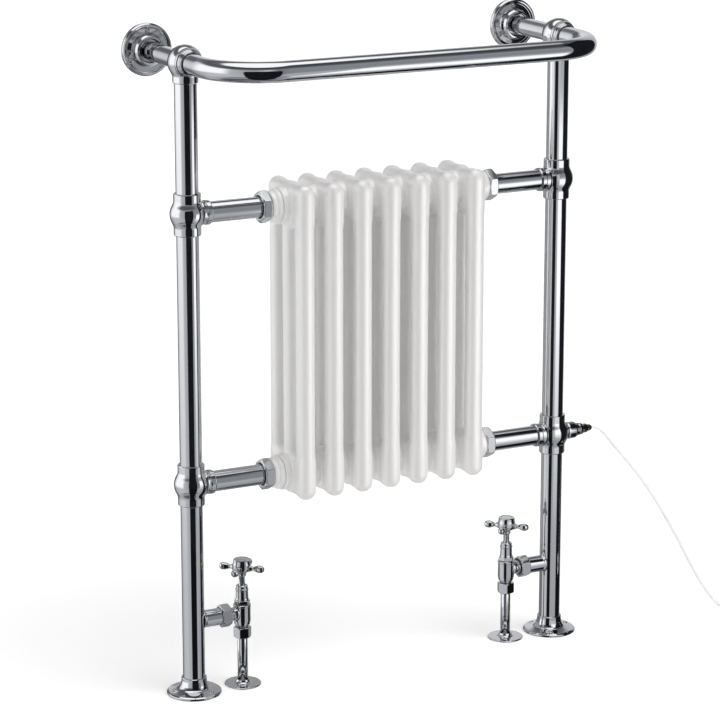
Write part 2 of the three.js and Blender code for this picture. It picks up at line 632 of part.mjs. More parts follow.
for (let i = 0; i < SECTION_COUNT; i += 1) {
  const x = (i - (SECTION_COUNT - 1) / 2) * SECTION_PITCH;
  add(frame, `radiator_section_${i + 1}`, radiatorSection(), enamel(), [x, 0, 0]);
}

// ---------------------------------------------------------------- heating element and its cord
// The element screws into the right lower tee from outside, along +X.
function heatingElement() {
  const neckStart = TEE_BALL_RADIUS - ELEMENT_NECK_LENGTH;
  const rod = bar(ELEMENT_ROD_RADIUS, neckStart - ELEMENT_LENGTH, neckStart + 1, SLIM_ROUND);
  const head = turned([
    [0, neckStart],
    [ELEMENT_NECK_RADIUS, neckStart],
    [ELEMENT_NECK_RADIUS, TEE_BALL_RADIUS + GAP],
    [ELEMENT_HEAD_RADIUS, TEE_BALL_RADIUS + GAP],
    [ELEMENT_HEAD_RADIUS, ELEMENT_HEAD_END - 1],
    [ELEMENT_HEAD_RADIUS - 1, ELEMENT_HEAD_END],
    [0, ELEMENT_HEAD_END],
  ], ROUND);
  return towardX(join(rod, head));
}

function cordGland() {
  return towardX(turned([
    [0, 0],
    [GLAND_RADIUS, 0],
    [GLAND_RADIUS, 4],
    [GLAND_RADIUS - 2, 5],
    [GLAND_TIP_RADIUS, GLAND_LENGTH],
    [0, GLAND_LENGTH],
  ], ROUND));
}

const GLAND_START = POST_X + ELEMENT_HEAD_END + GAP;
add(frame, 'heating_element', heatingElement(), stainless(), [POST_X, 0, LOWER_HUB_HEIGHT]);
add(frame, 'cord_gland', cordGland(), chrome(), [GLAND_START, 0, LOWER_HUB_HEIGHT]);

// The lead is a plain tube along its route. The rest of it is one ring, the outer shape of its coil.
function cordLead() {
  const points = CORD_ROUTE.map(point => new THREE.Vector3(...point));
  const path = new THREE.CatmullRomCurve3(points, false, 'centripetal');
  const section = new THREE.Shape().absarc(0, 0, CORD_RADIUS, 0, 2 * Math.PI);
  return new THREE.ExtrudeGeometry(section, {
    steps: CORD_STEPS,
    curveSegments: SLIM_ROUND / 2,
    extrudePath: path,
  });
}

add(radiator, 'cord_lead', cordLead(), whiteFlex());
const coil = ring([[COIL_OUTER, 0], [COIL_OUTER, COIL_HEIGHT]], COIL_INNER, WIDE_ROUND);
add(radiator, 'cord_coil', coil, whiteFlex(), [...COIL_CENTRE, 0]);

export default radiator;
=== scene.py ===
import json
import math

import bpy
import numpy as np
from bpy.props import FloatProperty, FloatVectorProperty, IntProperty, PointerProperty, StringProperty
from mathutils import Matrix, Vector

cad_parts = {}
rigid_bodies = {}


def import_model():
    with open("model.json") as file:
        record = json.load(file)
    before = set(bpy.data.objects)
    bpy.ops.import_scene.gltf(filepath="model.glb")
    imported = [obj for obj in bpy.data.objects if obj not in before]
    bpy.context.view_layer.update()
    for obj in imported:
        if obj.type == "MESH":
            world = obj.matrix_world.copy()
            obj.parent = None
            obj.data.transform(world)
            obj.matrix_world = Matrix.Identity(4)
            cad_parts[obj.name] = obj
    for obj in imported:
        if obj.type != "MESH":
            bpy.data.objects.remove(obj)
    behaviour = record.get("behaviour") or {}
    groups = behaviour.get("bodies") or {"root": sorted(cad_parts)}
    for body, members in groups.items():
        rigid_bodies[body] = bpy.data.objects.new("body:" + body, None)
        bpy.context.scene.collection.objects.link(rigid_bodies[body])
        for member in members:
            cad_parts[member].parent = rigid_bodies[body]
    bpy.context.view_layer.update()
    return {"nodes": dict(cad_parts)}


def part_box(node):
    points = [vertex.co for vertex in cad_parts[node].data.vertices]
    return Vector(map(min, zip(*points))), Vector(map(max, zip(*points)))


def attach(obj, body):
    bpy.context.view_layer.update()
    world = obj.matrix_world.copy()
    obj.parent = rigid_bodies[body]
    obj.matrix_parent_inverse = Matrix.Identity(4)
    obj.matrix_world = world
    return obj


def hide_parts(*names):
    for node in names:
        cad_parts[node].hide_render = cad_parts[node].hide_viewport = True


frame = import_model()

bl_info = {
    "name": "Column radiator towel rail",
    "version": (1, 0, 0),
    "blender": (4, 5, 0),
    "location": "3D View > Sidebar > Towel rail",
    "description": "Chromed towel rail round a column radiator, with two crosshead valves and an element",
    "category": "Object",
}

MM = 0.001
SIDES = {"left": 1, "right": -1}  # the way inboard along X
LEVELS = ("lower", "upper")
TURN = 2 * math.pi


# ---------------------------------------------------------------- places taken from the frame
def span(node):
    """Lowest and highest corner of a CAD node, in millimetres."""
    low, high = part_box(node)
    return np.array(low) / MM, np.array(high) / MM


def centre(node):
    """Middle of a CAD node's box, in millimetres."""
    low, high = span(node)
    return (low + high) / 2


POST_Y = centre("left_post_middle")[1]
POST_X = centre("right_post_middle")[0]
POST_RADIUS = (span("left_post_middle")[1][0] - span("left_post_middle")[0][0]) / 2
HUB_HEIGHT = {level: centre("left_cross_tube_" + level)[2] for level in LEVELS}
RAIL_HEIGHT = centre("towel_rail")[2]
VALVE_X = centre("right_riser_pipe")[0]
TAIL_HEIGHT = centre("right_valve_union_nut")[2]


# ---------------------------------------------------------------- surfaces
def grid(points):
    """A (rows, columns, 3) array as a flat list of points and the quads between neighbours."""
    rows, columns = points.shape[:2]
    number = np.arange(rows * columns).reshape(rows, columns)
    quads = [number[:-1, :-1], number[:-1, 1:], number[1:, 1:], number[1:, :-1]]
    return points.reshape(-1, 3), np.stack(quads, -1).reshape(-1, 4)


def corners(*rows, steps=5):
    """A profile of (radius, height) points from rows of (radius, height, fillet). A corner with a fillet f
    becomes an arc of that radius, touching both its sides at f / tan(half the corner's angle) from it,
    with one more point just outside each end of the arc so that the sides shade flat."""
    given = np.array([tuple(row) + (0,) * (3 - len(row)) for row in rows], float)
    out = [given[0, :2]]
    for before, here, after in zip(given[:-2], given[1:-1], given[2:]):
        to_before, to_after = before[:2] - here[:2], after[:2] - here[:2]
        one, two = np.linalg.norm(to_before), np.linalg.norm(to_after)
        u, v = to_before / one, to_after / two
        half = math.acos(np.clip(u @ v, -1, 1)) / 2
        if here[2] <= 0 or half > 1.5:
            out.append(here[:2])
            continue
        reach = min(here[2] / math.tan(half), 0.47 * one, 0.47 * two)
        middle = here[:2] + (u + v) / np.linalg.norm(u + v) * reach / math.cos(half)
        first, last = here[:2] + u * reach - middle, here[:2] + v * reach - middle
        sweep = math.pi - 2 * half
        hold = 0.06 * reach
        out.append(here[:2] + u * (reach + hold))
        for t in np.linspace(0, 1, steps + 1):
            part = math.sin((1 - t) * sweep) * first + math.sin(t * sweep) * last
            out.append(middle + part / math.sin(sweep))
        out.append(here[:2] + v * (reach + hold))
    out.append(given[-1, :2])
    return np.array(out)


def lathe(profile, sides):
    """A profile turned about Z: (r cos a, r sin a, z). It runs upwards on its outside."""
    a = np.linspace(0, TURN, sides + 1)
    r, z = profile[:, :1], profile[:, 1:]
    return grid(np.stack([r * np.cos(a), r * np.sin(a), z + 0 * a], -1))


def hexagon(across, bore, low, high):
    """A hexagon nut about Z. Its radius at angle a is half the width across flats, over the soft maximum
    (a power mean) of cos(a - flat) for its six flats, or the chamfer cone's where that is less. The cone
    leaves each end face at 0.97 of the flats' radius and widens by 1.7 for each millimetre of height."""
    flat = across / 2
    edge = np.array([0, 0.8, 1.7, 2.8, 4.5, 9, 18])
    sector = np.concatenate([edge - 30, [0], 30 - edge[:0:-1]])
    a = np.radians((sector + 60 * np.arange(6)[:, None]).reshape(-1))
    a = np.append(a, a[0] + TURN)
    facing = np.maximum(np.cos(a[:, None] - np.radians(60) * np.arange(6)), 1e-3)
    prism = flat / (facing ** 110).sum(1) ** (1 / 110)
    deep = 0.13 * flat
    near = np.array([0, 0.04, 0.1, 0.2, 0.32, 0.45, 0.6, 0.75, 0.9, 1.05])
    z = np.concatenate([low + deep * near, high - deep * near[::-1]])
    cone = 0.97 * flat + 1.7 * np.minimum(z - low, high - z)
    r = -smooth_most(-prism[None], -cone[:, None], 0.35)
    side = np.stack([r * np.cos(a), r * np.sin(a), z[:, None] + 0 * r], -1)
    soft = min(0.25, 0.1 * deep + 0.1)

    def ring(radius, height):
        return np.stack([radius * np.cos(a), radius * np.sin(a), height + 0 * a], -1)

    rows = [ring(bore, low + 1), ring(bore, low + soft), ring(bore + soft, low), ring(0.9 * flat, low)]
    ends = [ring(0.9 * flat, high), ring(bore + soft, high), ring(bore, high - soft), ring(bore, high - 1)]
    return grid(np.concatenate([np.stack(rows), side, np.stack(ends), rows[0][None]]))


def pipe(path, side, radius, sides):
    """A circle carried along a path in a level plane: p + radius (cos a side + sin a up), closed by a point
    at each end."""
    a = np.linspace(0, TURN, sides + 1)
    up = np.array([0, 0, 1.0])
    circle = np.cos(a)[:, None] * side[:, None] + np.sin(a)[:, None] * up
    rows = path[:, None] + radius * circle
    first = np.repeat(path[:1], sides + 1, 0)[None]
    last = np.repeat(path[-1:], sides + 1, 0)[None]
    return grid(np.concatenate([first, rows, last]))


def smooth_most(a, b, blend):
    """The larger of two values, rounded over where they are within the blend of each other."""
    h = np.clip(0.5 + 0.5 * (a - b) / blend, 0, 1)
    return b + (a - b) * h + blend * h * (1 - h)


def net(distance, xs, ys, zs, steps=4):
    """The surface distance(p) = 0 as quads. Each box of the grid that the surface crosses gets one point, at
    the mean of its edges' crossings, which Newton steps p - d g / |g|^2 then bring onto the surface. Each
    grid edge that it crosses gets a quad round it."""
    lattice = np.stack(np.meshgrid(xs, ys, zs, indexing="ij"), -1)
    value = distance(lattice)
    inside = value < 0
    shape = tuple(n - 1 for n in value.shape)
    total, number = np.zeros(shape + (3,)), np.zeros(shape)
    for axis in range(3):
        for one in (0, 1):
            for two in (0, 1):
                at = [one, two]
                at.insert(axis, 0)
                start = tuple(slice(o, o + n) for o, n in zip(at, shape))
                at[axis] = 1
                end = tuple(slice(o, o + n) for o, n in zip(at, shape))
                crossed = inside[start] != inside[end]
                gap = np.where(crossed, value[start] - value[end], 1)
                t = (value[start] / gap)[..., None]
                point = lattice[start] * (1 - t) + lattice[end] * t
                total += np.where(crossed[..., None], point, 0)
                number += crossed
    used = number > 0
    index = np.full(shape, -1)
    index[used] = np.arange(used.sum())
    points = total[used] / number[used][:, None]
    nudge = 0.05 * np.eye(3)
    for _ in range(steps):
        slope = np.stack([distance(points + e) - distance(points - e) for e in nudge], -1) / 0.1
        points -= (distance(points) / (slope ** 2).sum(-1))[:, None] * slope
    quads = []
    for axis in range(3):
        order = (axis, (axis + 1) % 3, (axis + 2) % 3)
        solid, cell = inside.transpose(order), index.transpose(order)
        i, j, k = np.nonzero(solid[:-1, 1:-1, 1:-1] != solid[1:, 1:-1, 1:-1])
        around = [cell[i, j, k], cell[i, j + 1, k], cell[i, j + 1, k + 1], cell[i, j, k + 1]]
        quad = np.stack(around, -1)
        outward = solid[i, j + 1, k + 1]
        quad[~outward] = quad[~outward][:, ::-1]
        quads.append(quad)
    return points, np.concatenate(quads)


def towards(surface, axis, at=(0, 0, 0)):
    """A surface built about Z, turned so that its Z runs along an axis, then moved."""
    points, quads = surface
    x, y, z = points.T
    turned = {
        "+X": (z, y, -x),
        "-X": (-z, y, x),
        "+Y": (x, z, -y),
        "-Y": (x, -z, y),
        "+Z": (x, y, z),
    }[axis]
    return np.stack(turned, -1) + np.array(at, float), quads


def spun(surface, angle):
    """A surface turned about Z."""
    points, quads = surface
    x, y, z = points.T
    c, s = math.cos(angle), math.sin(angle)
    return np.stack([c * x - s * y, s * x + c * y, z], -1), quads


def inboard(way):
    """The axis that points from a post to the radiator."""
    return "+X" if way > 0 else "-X"


def mesh_of(name, surfaces):
    """One mesh from surfaces. Points within a ten-thousandth of a millimetre are one, which closes seams
    and poles, and a quad that loses a corner is a triangle."""
    starts = np.cumsum([0] + [len(points) for points, _ in surfaces[:-1]])
    points = np.concatenate([points for points, _ in surfaces])
    quads = np.concatenate([quads + start for (_, quads), start in zip(surfaces, starts)])
    part = np.repeat(np.arange(len(surfaces)), [len(p) for p, _ in surfaces])
    keys = np.column_stack([np.round(points, 4) + 0.0, part])
    _, first, number = np.unique(keys, axis=0, return_index=True, return_inverse=True)
    quads = number.reshape(-1)[quads]
    kept = quads != np.roll(quads, -1, axis=1)
    sizes = kept.sum(1)
    real = sizes > 2
    loops, sizes = quads[real][kept[real]], sizes[real]
    mesh = bpy.data.meshes.new(name)
    mesh.vertices.add(len(first))
    mesh.vertices.foreach_set("co", (points[first] * MM).astype(np.float32).reshape(-1))
    mesh.loops.add(len(loops))
    mesh.loops.foreach_set("vertex_index", loops.astype(np.int32))
    mesh.polygons.add(len(sizes))
    mesh.polygons.foreach_set("loop_start", (np.cumsum(sizes) - sizes).astype(np.int32))
    mesh.update(calc_edges=True)
    mesh.shade_smooth()
    if mesh.validate():
        raise RuntimeError(name + " has a broken face")
    return mesh


def settle(thing, finish, slot, body, nodes):
    """Gives a new object its finish and its place in the frame."""
    thing.data.materials.append(material(finish))
    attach(thing, body)
    if nodes:
        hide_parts(*nodes)
    return thing


def piece(name, surfaces, finish="chrome_plate", slot="chrome", body="root", nodes=None):
    """A named object from surfaces in millimetres. It stands for the CAD node of its own name, unless
    other nodes are given."""
    if not surfaces:
        raise RuntimeError(name + " has no surface")
    thing = bpy.data.objects.new(name, mesh_of(name, surfaces))
    bpy.context.scene.collection.objects.link(thing)
    return settle(thing, finish, slot, body, [name.replace("look_", "")] if nodes is None else nodes)


# ---------------------------------------------------------------- finishes
def linear(colour):
    """A #rrggbb sRGB colour as linear values with alpha: c / 12.92 up to 0.04045, else
    ((c + 0.055) / 1.055) ^ 2.4."""
    parts = [int(colour[i:i + 2], 16) / 255 for i in (1, 3, 5)]
    return [c / 12.92 if c <= 0.04045 else ((c + 0.055) / 1.055) ** 2.4 for c in parts] + [1]


def add_node(tree, kind, inputs=None, links=None, stops=(), **settings):
    """Adds a node, sets its settings and its sockets' values, links its sockets, and gives a colour ramp its
    stops of (position, colour)."""
    node = tree.nodes.new(kind)
    for key, value in settings.items():
        setattr(node, key, value)
    for key, value in (inputs or {}).items():
        node.inputs[key].default_value = value
    for key, source in (links or {}).items():
        tree.links.new(source, node.inputs[key])
    if stops:
        elements = node.color_ramp.elements
        while len(elements) < len(stops):
            elements.new(0.5)
        for element, (position, colour) in zip(elements, stops):
            element.position = position
            element.color = linear(colour)
    return node


def shader_tree(name, **inputs):
    """A new material with one Principled shader, whose plain values are set on its own sockets."""
    made = bpy.data.materials.new(name)
    made.use_nodes = True
    tree = made.node_tree
    shader = tree.nodes["Principled BSDF"]
    for key, value in inputs.items():
        shader.inputs[key.replace("_", " ")].default_value = value
    place = add_node(tree, "ShaderNodeTexCoord").outputs["Object"]
    return tree, shader, place


def patches(tree, shader, place, size_mm, detail, *stops):
    """Colour in soft patches about size_mm across: noise of 0 to 1, looked up in stops of (noise, colour)."""
    spread = {"Scale": 1 / (size_mm * MM), "Detail": detail}
    cloud = add_node(tree, "ShaderNodeTexNoise", spread, {"Vector": place})
    tone = add_node(tree, "ShaderNodeValToRGB", links={"Fac": cloud.outputs["Fac"]}, stops=stops)
    tree.links.new(tone.outputs["Color"], shader.inputs["Base Color"])


def ripples(tree, shader, place, size_mm, detail, depth_mm):
    """Relief about size_mm across and up to depth_mm deep: noise of 0 to 1, taken as a height."""
    spread = {"Scale": 1 / (size_mm * MM), "Detail": detail}
    cloud = add_node(tree, "ShaderNodeTexNoise", spread, {"Vector": place})
    deep = {"Strength": 1.0, "Distance": depth_mm * MM}
    bump = add_node(tree, "ShaderNodeBump", deep, {"Height": cloud.outputs["Fac"]})
    tree.links.new(bump.outputs["Normal"], shader.inputs["Normal"])


def chrome_plate(name):
    """Bright chromium over nickel on brass tube and castings, buffed before plating. It is a cool mirror.
    The buffing wheel leaves a long faint waviness, and handling leaves a thin film that dulls it in
    patches a few centimetres wide."""
    style = bpy.context.scene.rail_finish
    tree, shader, place = shader_tree(name, Base_Color=linear(style.chrome_colour), Metallic=1.0)
    film = add_node(tree, "ShaderNodeTexNoise", {"Scale": 1 / (38 * MM), "Detail": 4}, {"Vector": place})
    clean_to_dull = {"From Min": 0.35, "From Max": 0.7, "To Min": style.chrome_roughness,
                     "To Max": style.chrome_roughness * 2}
    blur = add_node(tree, "ShaderNodeMapRange", clean_to_dull, {"Value": film.outputs["Fac"]})
    tree.links.new(blur.outputs["Result"], shader.inputs["Roughness"])
    ripples(tree, shader, place, 26, 0, 0.05)


def white_enamel(name):
    """White gloss paint, sprayed on pressed steel and stoved. It is a hard glossy skin with a slight
    orange peel of 2 to 3 mm, and it yellows a very little in broad patches."""
    style = bpy.context.scene.rail_finish
    tree, shader, place = shader_tree(name, Roughness=0.2, IOR=1.5, Coat_Weight=0.25, Coat_Roughness=0.06)
    patches(tree, shader, place, 90, 2, (0.3, style.enamel_colour), (0.7, style.enamel_shade))
    ripples(tree, shader, place, 2.6, 1, 0.012)


def stainless_sheath(name):
    """Drawn stainless steel tube of the heating element, bead blasted: grey, with a soft broad shine and
    fine draw lines a third of a millimetre apart along X."""
    tree, shader, place = shader_tree(name, Base_Color=linear("#a3a19d"), Metallic=1.0, Roughness=0.32)
    drawn = add_node(tree, "ShaderNodeMapping", {"Scale": (0.02, 1, 1)}, {"Vector": place})
    ripples(tree, shader, drawn.outputs["Vector"], 0.35, 2, 0.01)


def white_flex(name):
    """White flexible PVC sheath of a three-core flex: a soft satin skin with faint ripples from the
    cores inside, about 9 mm apart."""
    tree, shader, place = shader_tree(name, Base_Color=linear("#e6e5e3"), Roughness=0.42, IOR=1.53)
    ripples(tree, shader, place, 9, 1, 0.15)


def black_rubber(name):
    """Moulded nitrile washer and gland nose: near black and matt, with a fine talc bloom."""
    tree, shader, place = shader_tree(name, Roughness=0.7, IOR=1.5)
    patches(tree, shader, place, 1.5, 4, (0.35, "#161616"), (0.75, "#2b2a29"))


CORE_COLOURS = {"core_brown": "#6b3a1e", "core_blue": "#2c63a8", "core_earth": "#d9c520"}


def core_sheath(name):
    """PVC sheath of one core of the flex, in its wiring colour. The earth core has a green stripe down a
    yellow sheath, 1.5 mm wide."""
    colour = CORE_COLOURS[name]
    tree, shader, place = shader_tree(name, Base_Color=linear(colour), Roughness=0.4, IOR=1.53)
    if name == "core_earth":
        stripe = add_node(tree, "ShaderNodeTexWave", {"Scale": 100.0}, {"Vector": place})
        tone = add_node(
            tree, "ShaderNodeValToRGB", links={"Fac": stripe.outputs["Fac"]},
            stops=[(0.48, colour), (0.52, "#1f8a3b")])
        tree.links.new(tone.outputs["Color"], shader.inputs["Base Color"])
    ripples(tree, shader, place, 3, 1, 0.03)


def tinned_ferrule(name):
    """Crimped copper ferrule with a dull tin plate, marked by the crimping jaws every 0.8 mm."""
    tree, shader, place = shader_tree(name, Base_Color=linear("#c4c2bd"), Metallic=1.0, Roughness=0.3)
    ripples(tree, shader, place, 0.8, 1, 0.1)


def floor_paper(name):
    """Seamless white studio paper, lit from beneath as well, with the faintest cloud in its tone."""
    tree, shader, place = shader_tree(
        name, Roughness=0.85, Specular_IOR_Level=0.1, Emission_Color=linear("#ffffff"), Emission_Strength=0.3)
    patches(tree, shader, place, 600, 2, (0.3, "#f6f6f6"), (0.7, "#fafafa"))


def black_flag(name):
    """Black flock board of a studio flag."""
    tree, shader, place = shader_tree(name, Roughness=0.95, Specular_IOR_Level=0.0)
    patches(tree, shader, place, 300, 2, (0.3, "#25262a"), (0.7, "#2a2b2f"))


def softbox_cloth(name):
    """Lit cloth of a tall softbox, brightest from 0.4 to 0.67 m up."""
    tree, shader, place = shader_tree(
        name, Base_Color=linear("#000000"), Roughness=0.9, Emission_Strength=1.75)
    height = add_node(tree, "ShaderNodeSeparateXYZ", links={"Vector": place}).outputs["Z"]
    part = add_node(tree, "ShaderNodeMapRange", {"From Min": -0.5, "From Max": 1.0}, {"Value": height})
    tone = add_node(tree, "ShaderNodeValToRGB", links={"Fac": part.outputs["Result"]}, stops=[
        (0.1, "#8f9195"), (0.3, "#9c9ea1"), (0.48, "#dcdddf"), (0.6, "#ffffff"), (0.78, "#f4f5f6"),
        (0.83, "#aaacaf"), (0.93, "#7e8084"), (1.0, "#7a7c80")])
    tree.links.new(tone.outputs["Color"], shader.inputs["Emission Color"])


def grey_board(name):
    """Grey card of a studio flat, matt."""
    tree, shader, place = shader_tree(name, Roughness=0.95, Specular_IOR_Level=0.0)
    patches(tree, shader, place, 300, 2, (0.3, "#bcbdc0"), (0.7, "#c1c2c5"))


MAKERS = {maker.__name__: maker for maker in (
    chrome_plate, white_enamel, stainless_sheath, white_flex, black_rubber, tinned_ferrule, floor_paper,
    black_flag, grey_board, softbox_cloth,
)}
MAKERS.update(dict.fromkeys(CORE_COLOURS, core_sheath))


def material(name):
    """The finish of that name, made the first time that it is asked for."""
    if name not in bpy.data.materials:
        MAKERS[name](name)
    return bpy.data.materials[name]


# ---------------------------------------------------------------- sizes and colours to change
class RailFinish(bpy.types.PropertyGroup):
    """Colours and gloss of the finishes"""

    chrome_colour: StringProperty(name="Chrome", description="Colour of the chrome plate", default="#c8c9cb")
    chrome_roughness: FloatProperty(
        name="Chrome roughness", description="Blur of the chrome's reflections where it is clean",
        default=0.04, min=0.0, max=1.0, subtype="FACTOR")
    enamel_colour: StringProperty(
        name="Enamel", description="Colour of the enamel", default="#ece5e6")
    enamel_shade: StringProperty(
        name="Aged enamel", description="Colour of the enamel where it has aged", default="#e9e2e1")


class RailDetail(bpy.types.PropertyGroup):
    """Sizes of the small shapes that the frame leaves out"""

    sides: IntProperty(name="Sides", description="Facets round a turned piece", default=72, min=16, max=128)
    section_step: FloatProperty(
        name="Section mesh", description="Spacing of the radiator sections' mesh in the heads",
        default=0.0016, min=0.0008, max=0.004, unit="LENGTH")
    screw_radius: FloatProperty(
        name="Screw head", description="Radius of a flange screw's head",
        default=0.0042, min=0.002, max=0.006, unit="LENGTH")
    cord_length: FloatProperty(
        name="Cord", description="Length of the flex", default=1.2, min=0.6, max=3.0, unit="LENGTH")


class RailStudio(bpy.types.PropertyGroup):
    """Camera and light"""

    camera_at: FloatVectorProperty(
        name="Camera", description="Place of the camera", default=(-1.919, -3.678, 1.521), unit="LENGTH")
    azimuth: FloatProperty(
        name="Azimuth", description="Way the camera faces, from +Y towards +X",
        default=math.radians(27.15), subtype="ANGLE")
    pitch: FloatProperty(
        name="Pitch", description="How far the camera looks down",
        default=math.radians(14.26), subtype="ANGLE")
    lens: FloatProperty(name="Lens", description="Focal length", default=146.4, min=20, unit="CAMERA")
    room_light: FloatProperty(
        name="Room light", description="Strength of the soft room light", default=0.93, min=0)
    key_light: FloatProperty(
        name="Key light", description="Strength of the key light", default=2.7, min=0)
    mirror_light: FloatProperty(
        name="Mirrored room", description="Brightness of the room in reflections", default=1.6, min=0)


# ---------------------------------------------------------------- stage
# Walls of the studio as the chrome sees them: angle from -Y towards +X, in degrees, and tone. The upper
# walls show from 9 degrees under the horizon upwards, the lower ones from 19 degrees under it downwards.
UPPER_WALLS = [
    (-180, "#5a5b5f"), (-166, "#626367"), (-158, "#bfc0c2"), (-135, "#ffffff"), (-85, "#ffffff"),
    (-70, "#b2b4b7"), (-40, "#9a9ca0"), (-30, "#9a9ca0"), (-8, "#c6c7c9"), (8, "#6e7074"),
    (20, "#7c7e82"), (36, "#8c8e92"), (72, "#7c7e82"), (100, "#5b5d62"), (116, "#9a9ca0"),
    (162, "#c4c5c8"), (172, "#626367"), (180, "#5a5b5f"),
]
LOWER_WALLS = [
    (-180, "#5a5b5f"), (-166, "#626367"), (-150, "#9c9ea1"), (-120, "#bcbdbf"), (-80, "#bcbdbf"),
    (-70, "#b2b4b7"), (-42, "#a8aaad"), (-30, "#97999d"), (-8, "#9fa1a4"), (8, "#7c7e82"),
    (20, "#9fa1a5"), (36, "#adafb2"), (72, "#8c8e92"), (100, "#5b5d62"), (116, "#88898d"),
    (150, "#96979a"), (166, "#626367"), (180, "#5a5b5f"),
]
# Where the walls show, by the angle from the horizon, in degrees.
WALL_SPAN = [
    (-90, "#000000"), (-46, "#000000"), (-40, "#ffffff"), (26, "#ffffff"), (36, "#000000"),
    (90, "#000000"),
]
# Floor and ceiling in front of the object, and behind it.
FRONT_SKY = [
    (-90, "#808286"), (-66, "#505256"), (-61, "#606266"), (-57, "#a8aaad"), (-53, "#9a9c9f"),
    (-48, "#66686c"), (-43, "#7c7e82"), (-38, "#a5a7aa"), (30, "#6e7074"), (36, "#5c5e62"),
    (44, "#46484c"), (56, "#383a3e"), (59, "#77797d"), (61.5, "#ffffff"), (90, "#ffffff"),
]
BACK_SKY = [
    (-90, "#808286"), (-66, "#505256"), (-60, "#5c5e62"), (-53, "#a3a5a8"), (-20, "#b0b2b5"),
    (25, "#b8babd"), (32, "#6a6c70"), (45, "#505256"), (56, "#66686c"), (61.5, "#ffffff"),
    (90, "#ffffff"),
]
# Light that falls on matt surfaces, by the angle from the horizon, and the key light's way.
ROOM_LIGHT = [(-90, "#a0a0a0"), (0, "#b0b0b1"), (40, "#d0d0d1"), (90, "#f0f0f0")]
KEY_AZIMUTH, KEY_HEIGHT = math.radians(40), math.radians(48)
KEY_EDGE, KEY_CORE = 0.55, 0.25  # radians from its middle at which the key light starts and is full
PLAIN_WHITE, KEY_WHITE = "#ffffff", "#fffdfb"
BACK_SHARE = 0.45  # soft light from behind, as a share of that from the front
FLOOR_REACH, FLOOR_DROP = 8000, 0.05  # half the paper's side, and how far it lies below the flanges
# Boards near the object: name, finish, one end and the other as (x, y), lower and upper edge.
BOARDS = [
    ("flag_front", "black_flag", (-90, -729), (-814, -605), (-3000, 1100)),
    ("flag_side", "black_flag", (653, -477), (867, 203), (-1500, 1560)),
    ("softbox", "softbox_cloth", (200, -700), (660, -560), (-3000, 1100)),
    ("grey_back", "grey_board", (-230, 340), (272, 340), (-1500, 860)),
]


